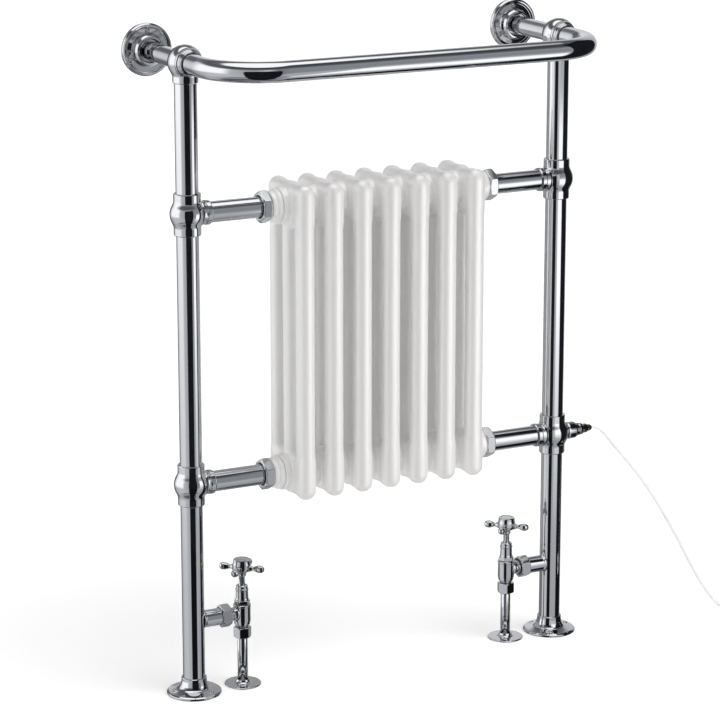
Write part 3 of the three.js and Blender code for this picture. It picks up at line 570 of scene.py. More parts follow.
class RAIL_OT_studio(bpy.types.Operator):
    """White studio: camera, room, floor, and boards that only show in reflections"""

    bl_idname = "rail.studio"
    bl_label = "Studio"
    bl_options = {"REGISTER", "UNDO"}

    def execute(self, context):
        scene, studio = context.scene, context.scene.rail_studio
        self.camera(scene, studio)
        self.room(scene, studio)
        self.floor(scene)
        for name, finish, one, two, heights in BOARDS:
            self.board(scene, name, finish, one, two, heights)
        scene.view_settings.view_transform = "Standard"
        return {"FINISHED"}

    def camera(self, scene, studio):
        """Camera turned by the azimuth about Z and tipped down by the pitch."""
        data = bpy.data.cameras.new("camera")
        data.lens = studio.lens
        data.sensor_width = 36
        eye = bpy.data.objects.new("camera", data)
        eye.location = studio.camera_at
        eye.rotation_euler = (math.pi / 2 - studio.pitch, 0, -studio.azimuth)
        scene.collection.objects.link(eye)
        scene.camera = eye

    def by_angle(self, tree, angle, stops, reach):
        """Tone at an angle, from stops of (degrees, tone) between -reach and reach."""
        ends = {"From Min": math.radians(-reach), "From Max": math.radians(reach)}
        part = add_node(tree, "ShaderNodeMapRange", ends, {"Value": angle})
        places = [((degrees + reach) / (2 * reach), tone) for degrees, tone in stops]
        tone = add_node(tree, "ShaderNodeValToRGB", links={"Fac": part.outputs["Result"]}, stops=places)
        return tone.outputs["Color"]

    def mirrored(self, tree, front, turn, rise):
        """What the chrome sees. The walls' tone goes by the angle round the object, with one set of tones
        well under the horizon and another above. They give way to a floor, a dark cornice and a bright
        ceiling, whose tones go by the angle from the horizon, in front of the object and behind it."""
        ends = {"From Min": math.radians(-19), "From Max": math.radians(-9)}
        upper = add_node(tree, "ShaderNodeMapRange", ends, {"Value": rise})
        walls = add_node(tree, "ShaderNodeMix", data_type="RGBA", links={
            0: upper.outputs["Result"],
            6: self.by_angle(tree, turn, LOWER_WALLS, 180),
            7: self.by_angle(tree, turn, UPPER_WALLS, 180),
        })
        ahead = add_node(tree, "ShaderNodeMapRange", {"From Min": -0.2, "From Max": 0.1}, {"Value": front})
        sky = add_node(tree, "ShaderNodeMix", data_type="RGBA", links={
            0: ahead.outputs["Result"],
            6: self.by_angle(tree, rise, BACK_SKY, 90),
            7: self.by_angle(tree, rise, FRONT_SKY, 90),
        })
        both = add_node(tree, "ShaderNodeMix", data_type="RGBA", links={
            0: self.by_angle(tree, rise, WALL_SPAN, 90),
            6: sky.outputs[2],
            7: walls.outputs[2],
        })
        return both.outputs[2]

    def lighting(self, tree, studio, way, front, rise):
        """What lights matt surfaces: a soft room, brighter in front, and a round key light, which fades in
        with the cosine of the angle from its middle."""
        share = {"From Min": -0.5, "From Max": 0.5, "To Min": BACK_SHARE * studio.room_light,
                 "To Max": studio.room_light}
        strength = add_node(tree, "ShaderNodeMapRange", share, {"Value": front}).outputs["Result"]
        tone = self.by_angle(tree, rise, ROOM_LIGHT, 90)
        soft = add_node(tree, "ShaderNodeBackground", links={"Color": tone, "Strength": strength})
        flat = math.cos(KEY_HEIGHT)
        key_way = (flat * math.sin(KEY_AZIMUTH), -flat * math.cos(KEY_AZIMUTH), math.sin(KEY_HEIGHT))
        near = add_node(tree, "ShaderNodeVectorMath", {1: key_way}, {0: way}, operation="DOT_PRODUCT")
        fade = {"From Min": math.cos(KEY_EDGE), "From Max": math.cos(KEY_CORE), "To Min": 0,
                "To Max": studio.key_light}
        strength = add_node(tree, "ShaderNodeMapRange", fade, {"Value": near.outputs["Value"]})
        key = add_node(tree, "ShaderNodeBackground", {"Color": linear(KEY_WHITE)},
                       {"Strength": strength.outputs["Result"]})
        return add_node(tree, "ShaderNodeAddShader", links={0: soft.outputs[0], 1: key.outputs[0]})

    def room(self, scene, studio):
        """One look for mirrors, another for matt surfaces, and plain white for the camera. With (x, y, z) a
        way out of the object, the angle round it is atan2(x, -y) and that from the horizon is asin(z)."""
        world = bpy.data.worlds.new("studio")
        scene.world = world
        world.use_nodes = True
        tree = world.node_tree
        tree.nodes.clear()
        way = add_node(tree, "ShaderNodeTexCoord").outputs["Generated"]
        x, y, z = add_node(tree, "ShaderNodeSeparateXYZ", links={"Vector": way}).outputs
        front = add_node(tree, "ShaderNodeMath", {1: -1.0}, {0: y}, operation="MULTIPLY").outputs[0]
        turn = add_node(tree, "ShaderNodeMath", links={0: x, 1: front}, operation="ARCTAN2").outputs[0]
        rise = add_node(tree, "ShaderNodeMath", links={0: z}, operation="ARCSINE").outputs[0]
        tone = self.mirrored(tree, front, turn, rise)
        seen = add_node(tree, "ShaderNodeBackground", {"Strength": studio.mirror_light}, {"Color": tone})
        soft = self.lighting(tree, studio, way, front, rise)
        plain = add_node(tree, "ShaderNodeBackground", {"Color": linear(PLAIN_WHITE), "Strength": 1.0})
        ray = add_node(tree, "ShaderNodeLightPath").outputs
        shown = seen.outputs[0]
        for kind, other in (("Is Diffuse Ray", soft), ("Is Camera Ray", plain)):
            shown = add_node(
                tree, "ShaderNodeMixShader", links={0: ray[kind], 1: shown, 2: other.outputs[0]}).outputs[0]
        add_node(tree, "ShaderNodeOutputWorld", links={"Surface": shown})

    def floor(self, scene):
        """Level paper, 16 m square, left out of reflections."""
        along = np.linspace(-FLOOR_REACH, FLOOR_REACH, 9)
        x, y = np.meshgrid(along, along)
        level = grid(np.stack([x, y, 0 * x - FLOOR_DROP], -1))
        ground = bpy.data.objects.new("floor", mesh_of("floor", [level]))
        ground.data.materials.append(material("floor_paper"))
        ground.visible_glossy = False
        scene.collection.objects.link(ground)

    def board(self, scene, name, finish, one, two, heights):
        """An upright board, one + (two - one) t at each height, that only shows in reflections."""
        t, z = np.meshgrid(np.linspace(0, 1, 9), np.linspace(*heights, 17))
        points = np.stack([one[0] + (two[0] - one[0]) * t, one[1] + (two[1] - one[1]) * t, z], -1)
        board = bpy.data.objects.new(name, mesh_of(name, [grid(points)]))
        board.data.materials.append(material(finish))
        board.visible_camera = False
        board.visible_diffuse = False
        board.visible_shadow = False
        scene.collection.objects.link(board)


# ---------------------------------------------------------------- flex
# The lead's centreline in millimetres, straight out of the gland, down under its weight, along the floor.
CORD_ROUTE = np.array([
    (369.1, 8.35, 316), (377, 8.35, 315.3), (385, 8.3, 311.3), (392.5, 8.2, 304.6), (400, 8.1, 296),
    (413, 7.8, 280), (428, 7, 263), (442, 5.8, 246), (455, 4.4, 229.5), (470, 2, 209), (484, -1.5, 187),
    (497, -6, 164), (509, -12, 140), (520, -19, 116), (530, -27, 92), (540, -35, 69), (550, -43, 48),
    (561, -51.3, 29.5), (573.5, -60, 14.8), (586, -68, 6), (597.5, -74.3, 3.1),
])
CORD_RADIUS = 3.0
COIL_START = 61.2  # angle at which the lead meets the coil, in degrees
OUTER_TURN, INNER_TURN = 37.0, 31.0
COIL_STEP = 4.0  # degrees from one point of the coil to the next
CORE_SPREAD = 1.3  # between the axes of neighbouring cores
# The coil, clockwise seen from above: degrees gone, radius of the turn, height of its centre.
COIL_STOPS = np.array([
    (0, OUTER_TURN, 3), (300, OUTER_TURN, 3), (360, INNER_TURN, 3), (620, INNER_TURN, 3),
    (680, INNER_TURN, 9), (940, INNER_TURN, 9), (1000, OUTER_TURN, 9), (1600, OUTER_TURN, 9),
])


class RAIL_OT_lead(bpy.types.Operator):
    """Flex of the heating element, its coil, tie and bare cores"""

    bl_idname = "rail.lead"
    bl_label = "Flex"
    bl_options = {"REGISTER", "UNDO"}

    def coil_point(self, gone):
        """Place after some degrees round the coil; radius and height ease from stop to stop."""
        part = np.clip(np.searchsorted(COIL_STOPS[:, 0], gone, side="right") - 1, 0, len(COIL_STOPS) - 2)
        start, end = COIL_STOPS[part], COIL_STOPS[part + 1]
        t = np.clip((gone - start[:, 0]) / (end[:, 0] - start[:, 0]), 0, 1)
        t = (t * t * (3 - 2 * t))[:, None]
        radius, height = (start[:, 1:] * (1 - t) + end[:, 1:] * t).T
        a = np.radians(COIL_START - gone)
        middle = centre("cord_coil")
        return np.stack([middle[0] + radius * np.cos(a), middle[1] + radius * np.sin(a), height], -1)

    def curve_through(self, points, per_gap=8):
        """Cubic through points: each gap is the Hermite curve of its ends' chord slopes."""
        ahead = np.gradient(points, axis=0)
        t = np.linspace(0, 1, per_gap, endpoint=False)[:, None]
        basis = (2 * t**3 - 3 * t**2 + 1, t**3 - 2 * t**2 + t, 3 * t**2 - 2 * t**3, t**3 - t**2)
        start, end = points[:-1, None], points[1:, None]
        rows = basis[0] * start + basis[1] * ahead[:-1, None] + basis[2] * end + basis[3] * ahead[1:, None]
        return np.concatenate([rows.reshape(-1, 3), points[-1:]])

    def execute(self, context):
        scene = context.scene
        length = scene.rail_detail.cord_length / MM
        lead = self.curve_through(CORD_ROUTE)
        line = np.concatenate([lead, self.coil_point(np.arange(0.0, 1500.0, COIL_STEP))])
        gone = np.concatenate([[0], np.cumsum(np.linalg.norm(np.diff(line, axis=0), axis=1))])
        count = 300
        at = np.linspace(0, length, count)
        points = np.stack([np.interp(at, gone, line[:, k]) for k in range(3)], -1)
        data = bpy.data.curves.new("look_cord", "CURVE")
        data.dimensions = "3D"
        data.bevel_depth = CORD_RADIUS * MM
        data.bevel_resolution = 5
        data.use_fill_caps = True
        spline = data.splines.new("POLY")
        spline.points.add(count - 1)
        spline.points.foreach_set("co", np.column_stack([points * MM, np.ones(count)]).reshape(-1))
        spline.use_smooth = True
        flex = bpy.data.objects.new("look_cord", data)
        scene.collection.objects.link(flex)
        settle(flex, "white_flex", "white_flex", "root", ["cord_lead", "cord_coil"])
        last_step = np.interp(length, gone, np.arange(len(gone))) - len(lead)
        extras = [self.tie()] + self.cores(COIL_STEP * last_step)
        return {"FINISHED"}

    def tie(self):
        """A flat strap round the coil's turns: a rounded square loop, 4 mm wide and 0.7 mm thick."""
        a = np.linspace(0, TURN, 49)
        power = (np.abs(np.cos(a)) ** 6 + np.abs(np.sin(a)) ** 6) ** (-1 / 6)
        section = [(-2, 5.9), (2, 5.9), (2, 6.6), (-2, 6.6), (-2, 5.9)]
        rows = np.stack([np.stack([
            (OUTER_TURN + INNER_TURN) / 2 + power * r * np.cos(a), w + 0 * a,
            6.6 + power * (r - 0.1) * np.sin(a)], -1) for w, r in section])
        points, quads = spun(grid(rows), math.radians(200))
        middle = centre("cord_coil")
        return piece("look_cord_tie", [(points + (middle[0], middle[1], 0), quads)], "black_rubber",
                     "washer_rubber", nodes=[])

    def cores(self, sheath_end):
        """Three cores, 26 to 28 mm long, that go on round the coil from the sheath's end, in ferrules."""
        made = []
        for k, colour in enumerate(CORE_COLOURS):
            gone = sheath_end + np.linspace(-2, 40 + 2 * k, 24)
            path = self.coil_point(gone)
            middle = centre("cord_coil")
            outward = (path - middle) * (1, 1, 0)
            outward /= np.linalg.norm(outward, axis=1)[:, None]
            path = path + outward * ((k - 1) * CORE_SPREAD) + np.array([0, 0, -0.4 if k == 1 else 0.6])
            for name, cut, radius, finish, slot in (
                    ("sheath", slice(0, 18), 1.15, colour, "white_flex"),
                    ("ferrule", slice(17, 24), 0.8, "tinned_ferrule", "stainless")):
                surface = pipe(path[cut], -outward[cut], radius, 16)
                made.append(piece(f"look_{colour}_{name}", [surface], finish, slot, nodes=[]))
        return made


# ---------------------------------------------------------------- frame
class RAIL_OT_tubes(bpy.types.Operator):
    """Posts, cross tubes and wall stays"""

    bl_idname = "rail.tubes"
    bl_label = "Posts and tubes"
    bl_options = {"REGISTER", "UNDO"}

    def rod(self, radius, low, high, sides):
        """A closed cylinder about Z with its rims rounded by 0.4."""
        return lathe(corners((0, low), (radius, low, 0.4), (radius, high, 0.4), (0, high)), sides)

    def execute(self, context):
        sides = context.scene.rail_detail.sides
        for side, way in SIDES.items():
            axis = (-way * POST_X, POST_Y, 0)
            for part in ("lower", "middle", "upper"):
                low, high = span(f"{side}_post_{part}")
                surfaces = [towards(self.rod(POST_RADIUS, low[2], high[2], sides), "+Z", axis)]
                if part == "lower":
                    reach = high[0] - low[0] - POST_RADIUS
                    stub = lathe(corners(
                        (0, 0), (14.2, 13), (13.1, 15.6, 1.5), (12.5, 17.4, 2), (12.5, reach, 0.6),
                        (0, reach)), sides)
                    surfaces.append(towards(stub, inboard(way), (axis[0], POST_Y, TAIL_HEIGHT)))
                piece(f"look_{side}_post_{part}", surfaces)
            for level in LEVELS:
                node = f"{side}_cross_tube_{level}"
                low, high = span(node)
                radius = (high[2] - low[2]) / 2
                start = (low[0] if way > 0 else high[0], POST_Y, HUB_HEIGHT[level])
                surface = self.rod(radius, 0, high[0] - low[0], sides)
                piece("look_" + node, [towards(surface, inboard(way), start)])
            low, high = span(side + "_wall_stay")
            surface = self.rod((high[0] - low[0]) / 2, 0, high[1] - low[1], sides)
            piece(f"look_{side}_wall_stay", [towards(surface, "+Y", (axis[0], low[1], RAIL_HEIGHT))])
        return {"FINISHED"}


class RAIL_OT_fittings(bpy.types.Operator):
    """Ball tees and top balls"""

    bl_idname = "rail.fittings"
    bl_label = "Ball fittings"
    bl_options = {"REGISTER", "UNDO"}

    def execute(self, context):
        sides = context.scene.rail_detail.sides
        for side, way in SIDES.items():
            for level in LEVELS:
                at = (-way * POST_X, POST_Y, HUB_HEIGHT[level])
                surfaces = [towards(self.tee(sides), "+Z", at), towards(self.branch(sides), inboard(way), at)]
                piece(f"look_{side}_tee_{level}", surfaces)
            at = (-way * POST_X, POST_Y, RAIL_HEIGHT)
            surfaces = [
                towards(self.top(sides), "+Z", at),
                towards(self.rail_collar(sides), "-Y", at),
                towards(self.stay_collar(sides), "+Y", at),
            ]
            piece(f"look_{side}_top_ball", surfaces)
        return {"FINISHED"}

    def tee(self, sides):
        """Sleeve and ball: r(z) is the smooth larger of the sleeve's 19.4 and the ball's
        sqrt(25^2 - z^2), closed by rounded lips at both ends."""
        z = np.linspace(-27.5, 27.5, 73)
        r = smooth_most(19.4 + 0 * z, np.sqrt(25.0**2 - np.minimum(z * z, 24.0**2)), 3.0)
        lip = corners((0, -30), (18.7, -30, 0.6), (19.4, -28.9, 0.8), (19.4, -27.6))
        end = lip[::-1] * (1, -1)
        return lathe(np.concatenate([lip, np.column_stack([r, z]), end]), sides)

    def branch(self, sides):
        """Collar of a branch: a neck out of the ball, then a rounded ring with a lip."""
        return lathe(corners(
            (0, 10), (18.6, 16), (16.9, 22, 3), (16.7, 24.6, 0.8), (17.6, 26, 0.7), (17.6, 31.4, 0.9),
            (16.7, 33, 0.5), (15.4, 33, 0.3), (15.1, 32.4), (0, 32.4)), sides)

    def top(self, sides):
        """Ball with a collar below: the smooth larger of sqrt(24.8^2 - z^2) and the collar's 18.1."""
        z = 24.8 * np.sin(np.linspace(-1.12, math.pi / 2, 60))
        ball = np.sqrt(np.maximum(24.8**2 - z * z, 0))
        r = np.where(z < 0, smooth_most(ball, 18.1 + 0 * z, 2.4), ball)
        lip = corners((0, -29), (17.4, -29, 0.5), (18.1, -27.8, 0.8), (18.1, -23.5))
        return lathe(np.concatenate([lip, np.column_stack([r, z])]), sides)

    def rail_collar(self, sides):
        """Stepped front of the ball: a shoulder, a groove and a lip round the rail."""
        return lathe(corners(
            (0, 10), (21.6, 12.2), (20.4, 15.4, 0.8), (18.8, 15.9, 0.5), (18.4, 18.0, 0.5), (17.6, 18.9, 0.5),
            (17.6, 21.8, 0.9), (16.4, 23, 0.6), (15.3, 22.4, 0.3), (14.9, 20.6), (0, 20.6)), sides)

    def stay_collar(self, sides):
        """Collar behind the ball: a cone out of the ball, then two rounded steps round the stay."""
        return lathe(corners(
            (0, 10), (18.6, 16.6), (16.4, 19.2, 0.8), (15.4, 20.6, 0.8), (14.2, 20.9, 0.3), (0, 20.9)), sides)


FLOOR_SCREW_CIRCLE, FLOOR_SCREW_HEIGHT = 29.5, 6.3
WALL_SCREW_CIRCLE, WALL_SCREW_HEIGHT = 27.6, 6.4
FIRST_FLOOR_SCREW = {"left": 63, "right": -117}  # its angle about the post, in degrees


class RAIL_OT_flanges(bpy.types.Operator):
    """Floor flanges and wall flanges with their screws"""

    bl_idname = "rail.flanges"
    bl_label = "Flanges"
    bl_options = {"REGISTER", "UNDO"}

    def screw(self, radius):
        """Domed head, z = h (1 - (r / R)^2), with a cross recess cut by two soft-edged slots, on a straight
        round side down to a flat foot."""
        a = np.linspace(0, TURN, 65)
        r = np.concatenate([np.linspace(1, 0.02, 22), [0]])[:, None] * radius
        x, y = r * np.cos(a), r * np.sin(a)

        def slot(along, across):
            inside_width = 1 / (1 + np.exp((np.abs(across) - 0.55) / 0.08))
            inside_length = 1 / (1 + np.exp((np.abs(along) - 0.58 * radius) / 0.12))
            return inside_width * inside_length

        recess = np.maximum(slot(x, y), slot(y, x))
        z = 1.5 * (1 - (r / radius) ** 2) + 0.35 - 1.15 * recess
        head = np.stack([x, y, z], -1)
        foot = np.stack([x[0], y[0], 0 * x[0] - 2.2], -1)[None]
        base = np.zeros_like(foot) + (0, 0, -2.2)
        return grid(np.concatenate([base, foot, head]))

    def floor_flange(self, sides):
        """Pressed floor flange: rounded rim, a slow rise, a bell up to the collar, a lip."""
        return lathe(corners(
            (16.2, 0), (39.3, 0, 0.4), (40, 1.2, 0.9), (40, 3.2, 1.3), (37.6, 4.9, 2.5), (31, 6.0, 12),
            (23.4, 8.2, 7), (19.6, 13.6, 9), (18.4, 20, 6), (18.4, 24.2, 0.5), (17.7, 25, 0.4),
            (16.2, 25), (16.2, 0), steps=7), sides)

    def wall_flange(self, sides):
        """Wall flange: raised rounded lip, dished face, stepped boss, recess round the stay."""
        return lathe(corners(
            (0, 0), (37.4, 0, 0.4), (38, 1, 0.8), (38, 6.4, 2.2), (35.6, 9.0, 1.6), (33.2, 8.6, 1.2),
            (31.2, 6.3, 1.5), (24.4, 6.6, 1.0), (22.9, 8.8, 1.2), (22.5, 15.2, 2.5), (20.6, 19.6, 1.4),
            (17.4, 20, 0.9), (16.3, 17.6, 0.8), (16.1, 12, 0.3), (0, 12), steps=6), sides)

    def screws(self, radius, circle, height, first):
        """Three screws, a third of a turn apart on a circle, each with its slots turned its own way."""
        angles = first + TURN / 3 * np.arange(3)
        ring = []
        for a in angles:
            points, quads = spun(self.screw(radius), 1.1 + 2.3 * a)
            ring.append((points + (circle * math.cos(a), circle * math.sin(a), height), quads))
        return ring

    def execute(self, context):
        scene = context.scene
        sides = scene.rail_detail.sides + 24
        radius = scene.rail_detail.screw_radius / MM
        for side, way in SIDES.items():
            at = (-way * POST_X, POST_Y, 0)
            piece(f"look_{side}_floor_flange", [towards(self.floor_flange(sides), "+Z", at)])
            first = math.radians(FIRST_FLOOR_SCREW[side])
            ring = self.screws(radius, FLOOR_SCREW_CIRCLE, FLOOR_SCREW_HEIGHT, first)
            piece(f"look_{side}_floor_screws", [towards(screw, "+Z", at) for screw in ring], nodes=[])
            wall = span(side + "_wall_flange")[1][1]
            at = (at[0], wall, RAIL_HEIGHT)
            piece(f"look_{side}_wall_flange", [towards(self.wall_flange(sides), "-Y", at)])
            ring = self.screws(radius, WALL_SCREW_CIRCLE, WALL_SCREW_HEIGHT, math.pi / 2)
            piece(f"look_{side}_wall_screws", [towards(screw, "-Y", at) for screw in ring], nodes=[])
        return {"FINISHED"}


BEND = 86.0  # radius of the rail's bends, on its axis


class RAIL_OT_towel_rail(bpy.types.Operator):
    """Bent towel rail"""

    bl_idname = "rail.towel_rail"
    bl_label = "Towel rail"
    bl_options = {"REGISTER", "UNDO"}

    def execute(self, context):
        """A circle carried along a straight, a quarter bend, a straight, and back the same way."""
        low, high = span("towel_rail")
        radius = (high[2] - low[2]) / 2
        front = low[1] + radius
        corner = POST_X - BEND
        angle = np.linspace(0, math.pi / 2, 41)
        arm = np.array([high[1], high[1] - 4, high[1] - 20, front + BEND + 2.0])
        left = np.stack([-corner - BEND * np.cos(angle), front + BEND - BEND * np.sin(angle)], -1)
        lead_in = np.stack([0 * arm - POST_X, arm], -1)
        across = np.array([(-corner + 2, front), (0, front)])
        half = np.concatenate([lead_in, left, across])
        flat = np.concatenate([half, (half[:-1] * (-1, 1))[::-1]])
        heading = np.concatenate([
            np.tile([0.0, -1.0], (len(arm), 1)),
            np.stack([np.sin(angle), -np.cos(angle)], -1),
            [[1.0, 0.0], [1.0, 0.0]],
        ])
        heading = np.concatenate([heading, (heading[:-1] * (1, -1))[::-1]])
        path = np.column_stack([flat, np.full(len(flat), RAIL_HEIGHT)])
        side = np.column_stack([-heading[:, 1], heading[:, 0], 0 * heading[:, 0]])
        piece("look_towel_rail", [pipe(path, side, radius, context.scene.rail_detail.sides)])
        return {"FINISHED"}


COLUMN_RADIUS, COLUMN_PITCH = 13.5, 42
HEAD_REACH = 19.5  # from the hub's axis to the centre of the columns' half balls
HUB_SOFTENING = 1.5  # radius of the hub's rounded rims


class RAIL_OT_sections(bpy.types.Operator):
    """Seven radiator sections of three columns"""

    bl_idname = "rail.sections"
    bl_label = "Radiator sections"
    bl_options = {"REGISTER", "UNDO"}

    def execute(self, context):
        step = context.scene.rail_detail.section_step / MM
        half_heads = (HUB_HEIGHT["upper"] - HUB_HEIGHT["lower"]) / 2
        middle = (HUB_HEIGHT["upper"] + HUB_HEIGHT["lower"]) / 2

        def distance(p):
            """Smooth least of: three upright columns that end in half balls; a rounded bar across them at
            each end, 13 mm in radius; a hub along X with softened ends."""
            x, y, up = p[..., 0], np.abs(p[..., 1]), np.abs(p[..., 2] - middle) - half_heads
            over = np.maximum(up - HEAD_REACH, 0)
            outer = np.sqrt(x**2 + (y - COLUMN_PITCH) ** 2 + over**2) - COLUMN_RADIUS
            inner = np.sqrt(x**2 + y**2 + over**2) - COLUMN_RADIUS
            aside = np.maximum(y - COLUMN_PITCH, 0)
            away = np.maximum(np.abs(up + 0.3) - 19.7, 0)
            bar = np.sqrt(x**2 + aside**2 + away**2) - 13.0
            reach, wide = np.abs(x) - 21.35, np.sqrt(y**2 + up**2) - 25.0
            hub = np.minimum(np.maximum(reach, wide), 0)
            hub = hub + np.sqrt(np.maximum(reach, 0) ** 2 + np.maximum(wide, 0) ** 2) - HUB_SOFTENING
            shell = -smooth_most(-np.minimum(outer, inner), -bar, 5.0)
            return -smooth_most(-shell, -hub, 4.0)

        fine = np.arange(-20.4, 20.5, step)
        rim = np.array([20.9, 21.5, 22.1, 22.7, 23.3])
        xs = np.concatenate([-rim[::-1], fine[1:-1], rim])
        ys = np.arange(-58.03, 58.1, step)
        head = np.arange(-36.03, 52, step)
        low = HUB_HEIGHT["lower"] + head
        high = HUB_HEIGHT["upper"] - head[::-1]
        zs = np.concatenate([low, np.linspace(low[-1], high[0], 24)[1:-1], high])
        points, quads = net(distance, xs, ys, zs)
        for number in range(1, 8):
            node = f"radiator_section_{number}"
            at = centre(node) * (1, 1, 0)
            piece("look_" + node, [(points + at, quads)], "white_enamel", "white_enamel")
        return {"FINISHED"}


class RAIL_OT_unions(bpy.types.Operator):
    """White bushes and chromed union nuts of the radiator"""

    bl_idname = "rail.unions"
    bl_label = "Unions"
    bl_options = {"REGISTER", "UNDO"}

    def execute(self, context):
        sides = context.scene.rail_detail.sides
        bush = lathe(corners(
            (14, 0.3), (23.9, 0.3, 0.4), (24.5, 1.2, 0.6), (24.5, 6.2, 0.8), (23.6, 7.2, 0.4),
            (22.2, 7.4, 0.4), (21.8, 8.2, 0.4), (21.8, 12.2, 0.8), (20.8, 14.2, 0.6), (19.8, 14.85, 0.4),
            (14, 14.85), (14, 0.3)), sides)
        for side, way in SIDES.items():
            for level in LEVELS:
                low, high = span(f"{side}_bush_{level}")
                inner = high[0] if way > 0 else low[0]
                at = (inner + way * 0.15, POST_Y, HUB_HEIGHT[level])
                outboard = inboard(-way)
                surface = towards(bush, outboard, at)
                piece(f"look_{side}_bush_{level}", [surface], "white_enamel", "white_enamel")
                low, high = span(f"{side}_union_nut_{level}")
                inner = high[0] if way > 0 else low[0]
                nut = spun(hexagon(high[1] - low[1], 16.4, 0, high[0] - low[0]), math.radians(30))
                at = (inner, POST_Y, HUB_HEIGHT[level])
                piece(f"look_{side}_union_nut_{level}", [towards(nut, outboard, at)])
        return {"FINISHED"}


# ---------------------------------------------------------------- valves
class RAIL_OT_valves(bpy.types.Operator):
    """Valve bodies, bonnets, nuts, risers and floor plates"""

    bl_idname = "rail.valves"
    bl_label = "Valves"
    bl_options = {"REGISTER", "UNDO"}

    def execute(self, context):
        sides = context.scene.rail_detail.sides
        body = lathe(corners(
            (0, 89), (8.6, 89, 0.4), (9.2, 90.6, 1), (11.4, 93.2, 3), (12.4, 98.5, 5), (12.4, 120.2, 0.5),
            (12.9, 120.8, 0.4), (12.9, 123.2, 0.5), (12.2, 124, 0.4), (0, 124), steps=6), sides)
        tail = lathe(corners(
            (0, 0), (11.4, 9.4), (9.6, 13.4, 2.5), (9.4, 16.6, 1.2), (10.8, 18.2, 0.8), (10.8, 20.6, 0.8),
            (9.5, 22, 0.5), (9.5, 33), (0, 33)), sides)
        bonnet = lathe(corners(
            (5.5, 124.4), (10.3, 124.4), (10.3, 129.6), (9.9, 130.2, 0.3), (9.9, 131.6, 0.8), (9.3, 133, 1),
            (8.9, 144, 1), (9.5, 145, 0.3), (9.5, 147.2, 0.6), (8.6, 148, 0.4), (8.6, 151.6, 0.8),
            (7.2, 153, 0.5), (5.7, 153, 0.3), (5.5, 152), (5.5, 124.4)), sides)
        bonnet_hex = hexagon(21, 8.6, 124.3, 130)
        riser = lathe(corners((6.5, 0.6), (7.5, 0.6), (7.5, 95.6), (6.5, 95.6), (6.5, 0.6)), sides)
        plate = lathe(corners(
            (7.8, 0), (26.4, 0, 0.2), (27, 0.6, 0.5), (27, 1.7, 0.5), (26.3, 2.4, 0.5), (12.6, 3.0, 2.5),
            (10.3, 5.2, 2.5), (9.1, 8.0, 0.4), (8.2, 8.0, 0.2), (7.8, 7.6), (7.8, 0)), sides)
        for side, way in SIDES.items():
            at = (-way * VALVE_X, POST_Y, 0)
            outboard = inboard(-way)
            tail_at = (at[0], POST_Y, TAIL_HEIGHT)
            surfaces = [towards(body, "+Z", at), towards(tail, outboard, tail_at)]
            piece(f"look_{side}_valve_body", surfaces)
            nut = spun(hexagon(30, 12.9, 21, 36), math.radians(38 if way > 0 else 30))
            piece(f"look_{side}_valve_union_nut", [towards(nut, outboard, tail_at)])
            surfaces = [towards(bonnet, "+Z", at), towards(spun(bonnet_hex, 0.3), "+Z", at)]
            piece(f"look_{side}_valve_bonnet", surfaces)
            nut = spun(hexagon(23.5, 7.8, 73, 88.7), 0.35 * way)
            piece(f"look_{side}_compression_nut", [towards(nut, "+Z", at)])
            piece(f"look_{side}_riser_pipe", [towards(riser, "+Z", at)])
            piece(f"look_{side}_floor_plate", [towards(plate, "+Z", at)])
        return {"FINISHED"}


ARM_HEIGHT = 179
ARM_TURN = 45  # angle of the crossheads' first arms from X, in degrees, with the valves shut


class RAIL_OT_handles(bpy.types.Operator):
    """Spindles and crosshead handles"""

    bl_idname = "rail.handles"
    bl_label = "Crosshead handles"
    bl_options = {"REGISTER", "UNDO"}

    def execute(self, context):
        sides = context.scene.rail_detail.sides
        spindle = lathe(corners((0, 107), (4.6, 107, 0.3), (4.6, 172), (0, 172)), sides // 2)
        hub = lathe(corners(
            (0, 166.8), (5.9, 166.8, 0.5), (6.4, 168.2, 0.8), (6.2, 170.4, 1.5), (8.2, 172.4, 2.5),
            (12.2, 174.8, 3.5), (13.5, 179, 4), (13.3, 184.5, 4), (12.5, 188.2, 3), (12.4, 190.9, 0.9),
            (11.2, 192.5, 0.9), (10.3, 192.3, 0.3), (9.9, 191.8, 0.3), (9.2, 191.9, 0.4), (5, 192.3, 8),
            (0, 192.4), steps=6), sides)
        arm = lathe(corners(
            (0, 6), (5.6, 10), (4.3, 14.2, 3), (3.0, 17, 3), (3.1, 19.4, 3), (4.6, 22.6, 3), (5.6, 26.4, 3),
            (5.5, 30.4, 3), (3.9, 33.4, 2.2), (1.6, 34.6, 1.2), (0, 34.7), steps=5), sides // 2)
        for side, way in SIDES.items():
            at = np.array((-way * VALVE_X, POST_Y, 0))
            body = side + "_handle"
            piece(f"look_{side}_valve_spindle", [towards(spindle, "+Z", at)], body=body)
            surfaces = [towards(hub, "+Z", at)]
            for k in range(4):
                points, quads = spun(towards(arm, "+X"), math.radians(ARM_TURN + 90 * k))
                surfaces.append((points + at + (0, 0, ARM_HEIGHT), quads))
            piece(f"look_{side}_valve_handle", surfaces, body=body)
            finishes = frame["nodes"][side + "_valve_jumper"].data.materials
            finishes.clear()
            finishes.append(material("black_rubber"))
        return {"FINISHED"}


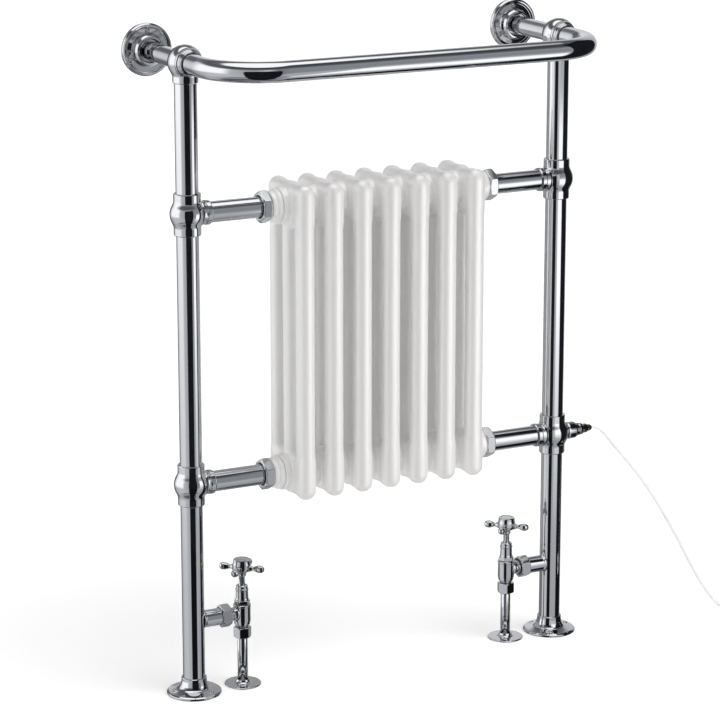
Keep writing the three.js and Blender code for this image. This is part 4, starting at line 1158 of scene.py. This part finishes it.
# ---------------------------------------------------------------- heating element
class RAIL_OT_element(bpy.types.Operator):
    """Heating element, its head and the cable gland"""

    bl_idname = "rail.element"
    bl_label = "Heating element"
    bl_options = {"REGISTER", "UNDO"}

    def execute(self, context):
        sides = context.scene.rail_detail.sides
        low, high = span("heating_element")
        at = (POST_X, POST_Y, HUB_HEIGHT["lower"])
        rod = lathe(corners((0, low[0] - POST_X), (5, low[0] - POST_X, 2), (5, 16), (0, 16)), 32)
        piece("look_heating_element", [towards(rod, "+X", at)], "stainless_sheath", "stainless")
        head = lathe(corners(
            (0, 15), (10, 15), (10, 23.4, 0.3), (12.4, 24.2, 0.6), (13, 26.4, 1), (13, 36.6, 1.5),
            (11.8, 39.2, 0.8), (0, 39.4)), sides)
        piece("look_element_head", [towards(head, "+X", at)], nodes=[])
        gland = lathe(corners(
            (0, 0), (10, 0, 0.3), (10, 3.6, 0.8), (8.9, 4.8, 0.4), (8.5, 5.6, 0.4), (9.2, 6.8, 0.6),
            (9.0, 11, 0.8), (7.4, 13.4, 1.0), (7.0, 19.6, 1.2), (6.2, 21.4, 0.6), (4.9, 23.4, 0.6),
            (0, 23.4)), sides)
        end = (span("cord_gland")[0][0], POST_Y, HUB_HEIGHT["lower"])
        nose = lathe(corners(
            (0, 22), (5.2, 22), (5.2, 24.6, 0.4), (4.2, 27.8, 0.8), (3.3, 28.9, 0.3), (0, 28.9)), sides // 2)
        shell = piece("look_cord_gland", [towards(gland, "+X", end)])
        tip = piece("look_gland_nose", [towards(nose, "+X", end)], "black_rubber", "washer_rubber", nodes=[])
        tip.parent = shell
        tip.matrix_parent_inverse.identity()
        return {"FINISHED"}


# ---------------------------------------------------------------- panel
class RAIL_PT_panel(bpy.types.Panel):
    """Buttons and sizes of the towel rail"""

    bl_idname = "RAIL_PT_panel"
    bl_label = "Towel rail"
    bl_space_type = "VIEW_3D"
    bl_region_type = "UI"
    bl_category = "Towel rail"

    def draw(self, context):
        for operator in OPERATORS:
            self.layout.operator(operator.bl_idname)
        for group in (getattr(context.scene, name) for name in GROUPS):
            box = self.layout.box()
            for name in group.bl_rna.properties.keys()[2:]:
                box.prop(group, name)


OPERATORS = (
    RAIL_OT_studio, RAIL_OT_lead, RAIL_OT_tubes, RAIL_OT_fittings, RAIL_OT_flanges, RAIL_OT_towel_rail,
    RAIL_OT_sections, RAIL_OT_unions, RAIL_OT_valves, RAIL_OT_handles, RAIL_OT_element,
)
GROUPS = {"rail_finish": RailFinish, "rail_detail": RailDetail, "rail_studio": RailStudio}


def register():
    for group in GROUPS.values():
        bpy.utils.register_class(group)
    for operator in OPERATORS:
        bpy.utils.register_class(operator)
    bpy.utils.register_class(RAIL_PT_panel)
    for name, group in GROUPS.items():
        setattr(bpy.types.Scene, name, PointerProperty(type=group))


def unregister():
    for name in GROUPS:
        delattr(bpy.types.Scene, name)
    bpy.utils.unregister_class(RAIL_PT_panel)
    for operator in reversed(OPERATORS):
        bpy.utils.unregister_class(operator)
    for group in GROUPS.values():
        bpy.utils.unregister_class(group)


def main():
    register()
    for operator in OPERATORS:
        category, name = operator.bl_idname.split(".")
        getattr(getattr(bpy.ops, category), name)()


if __name__ == "__main__":
    main()
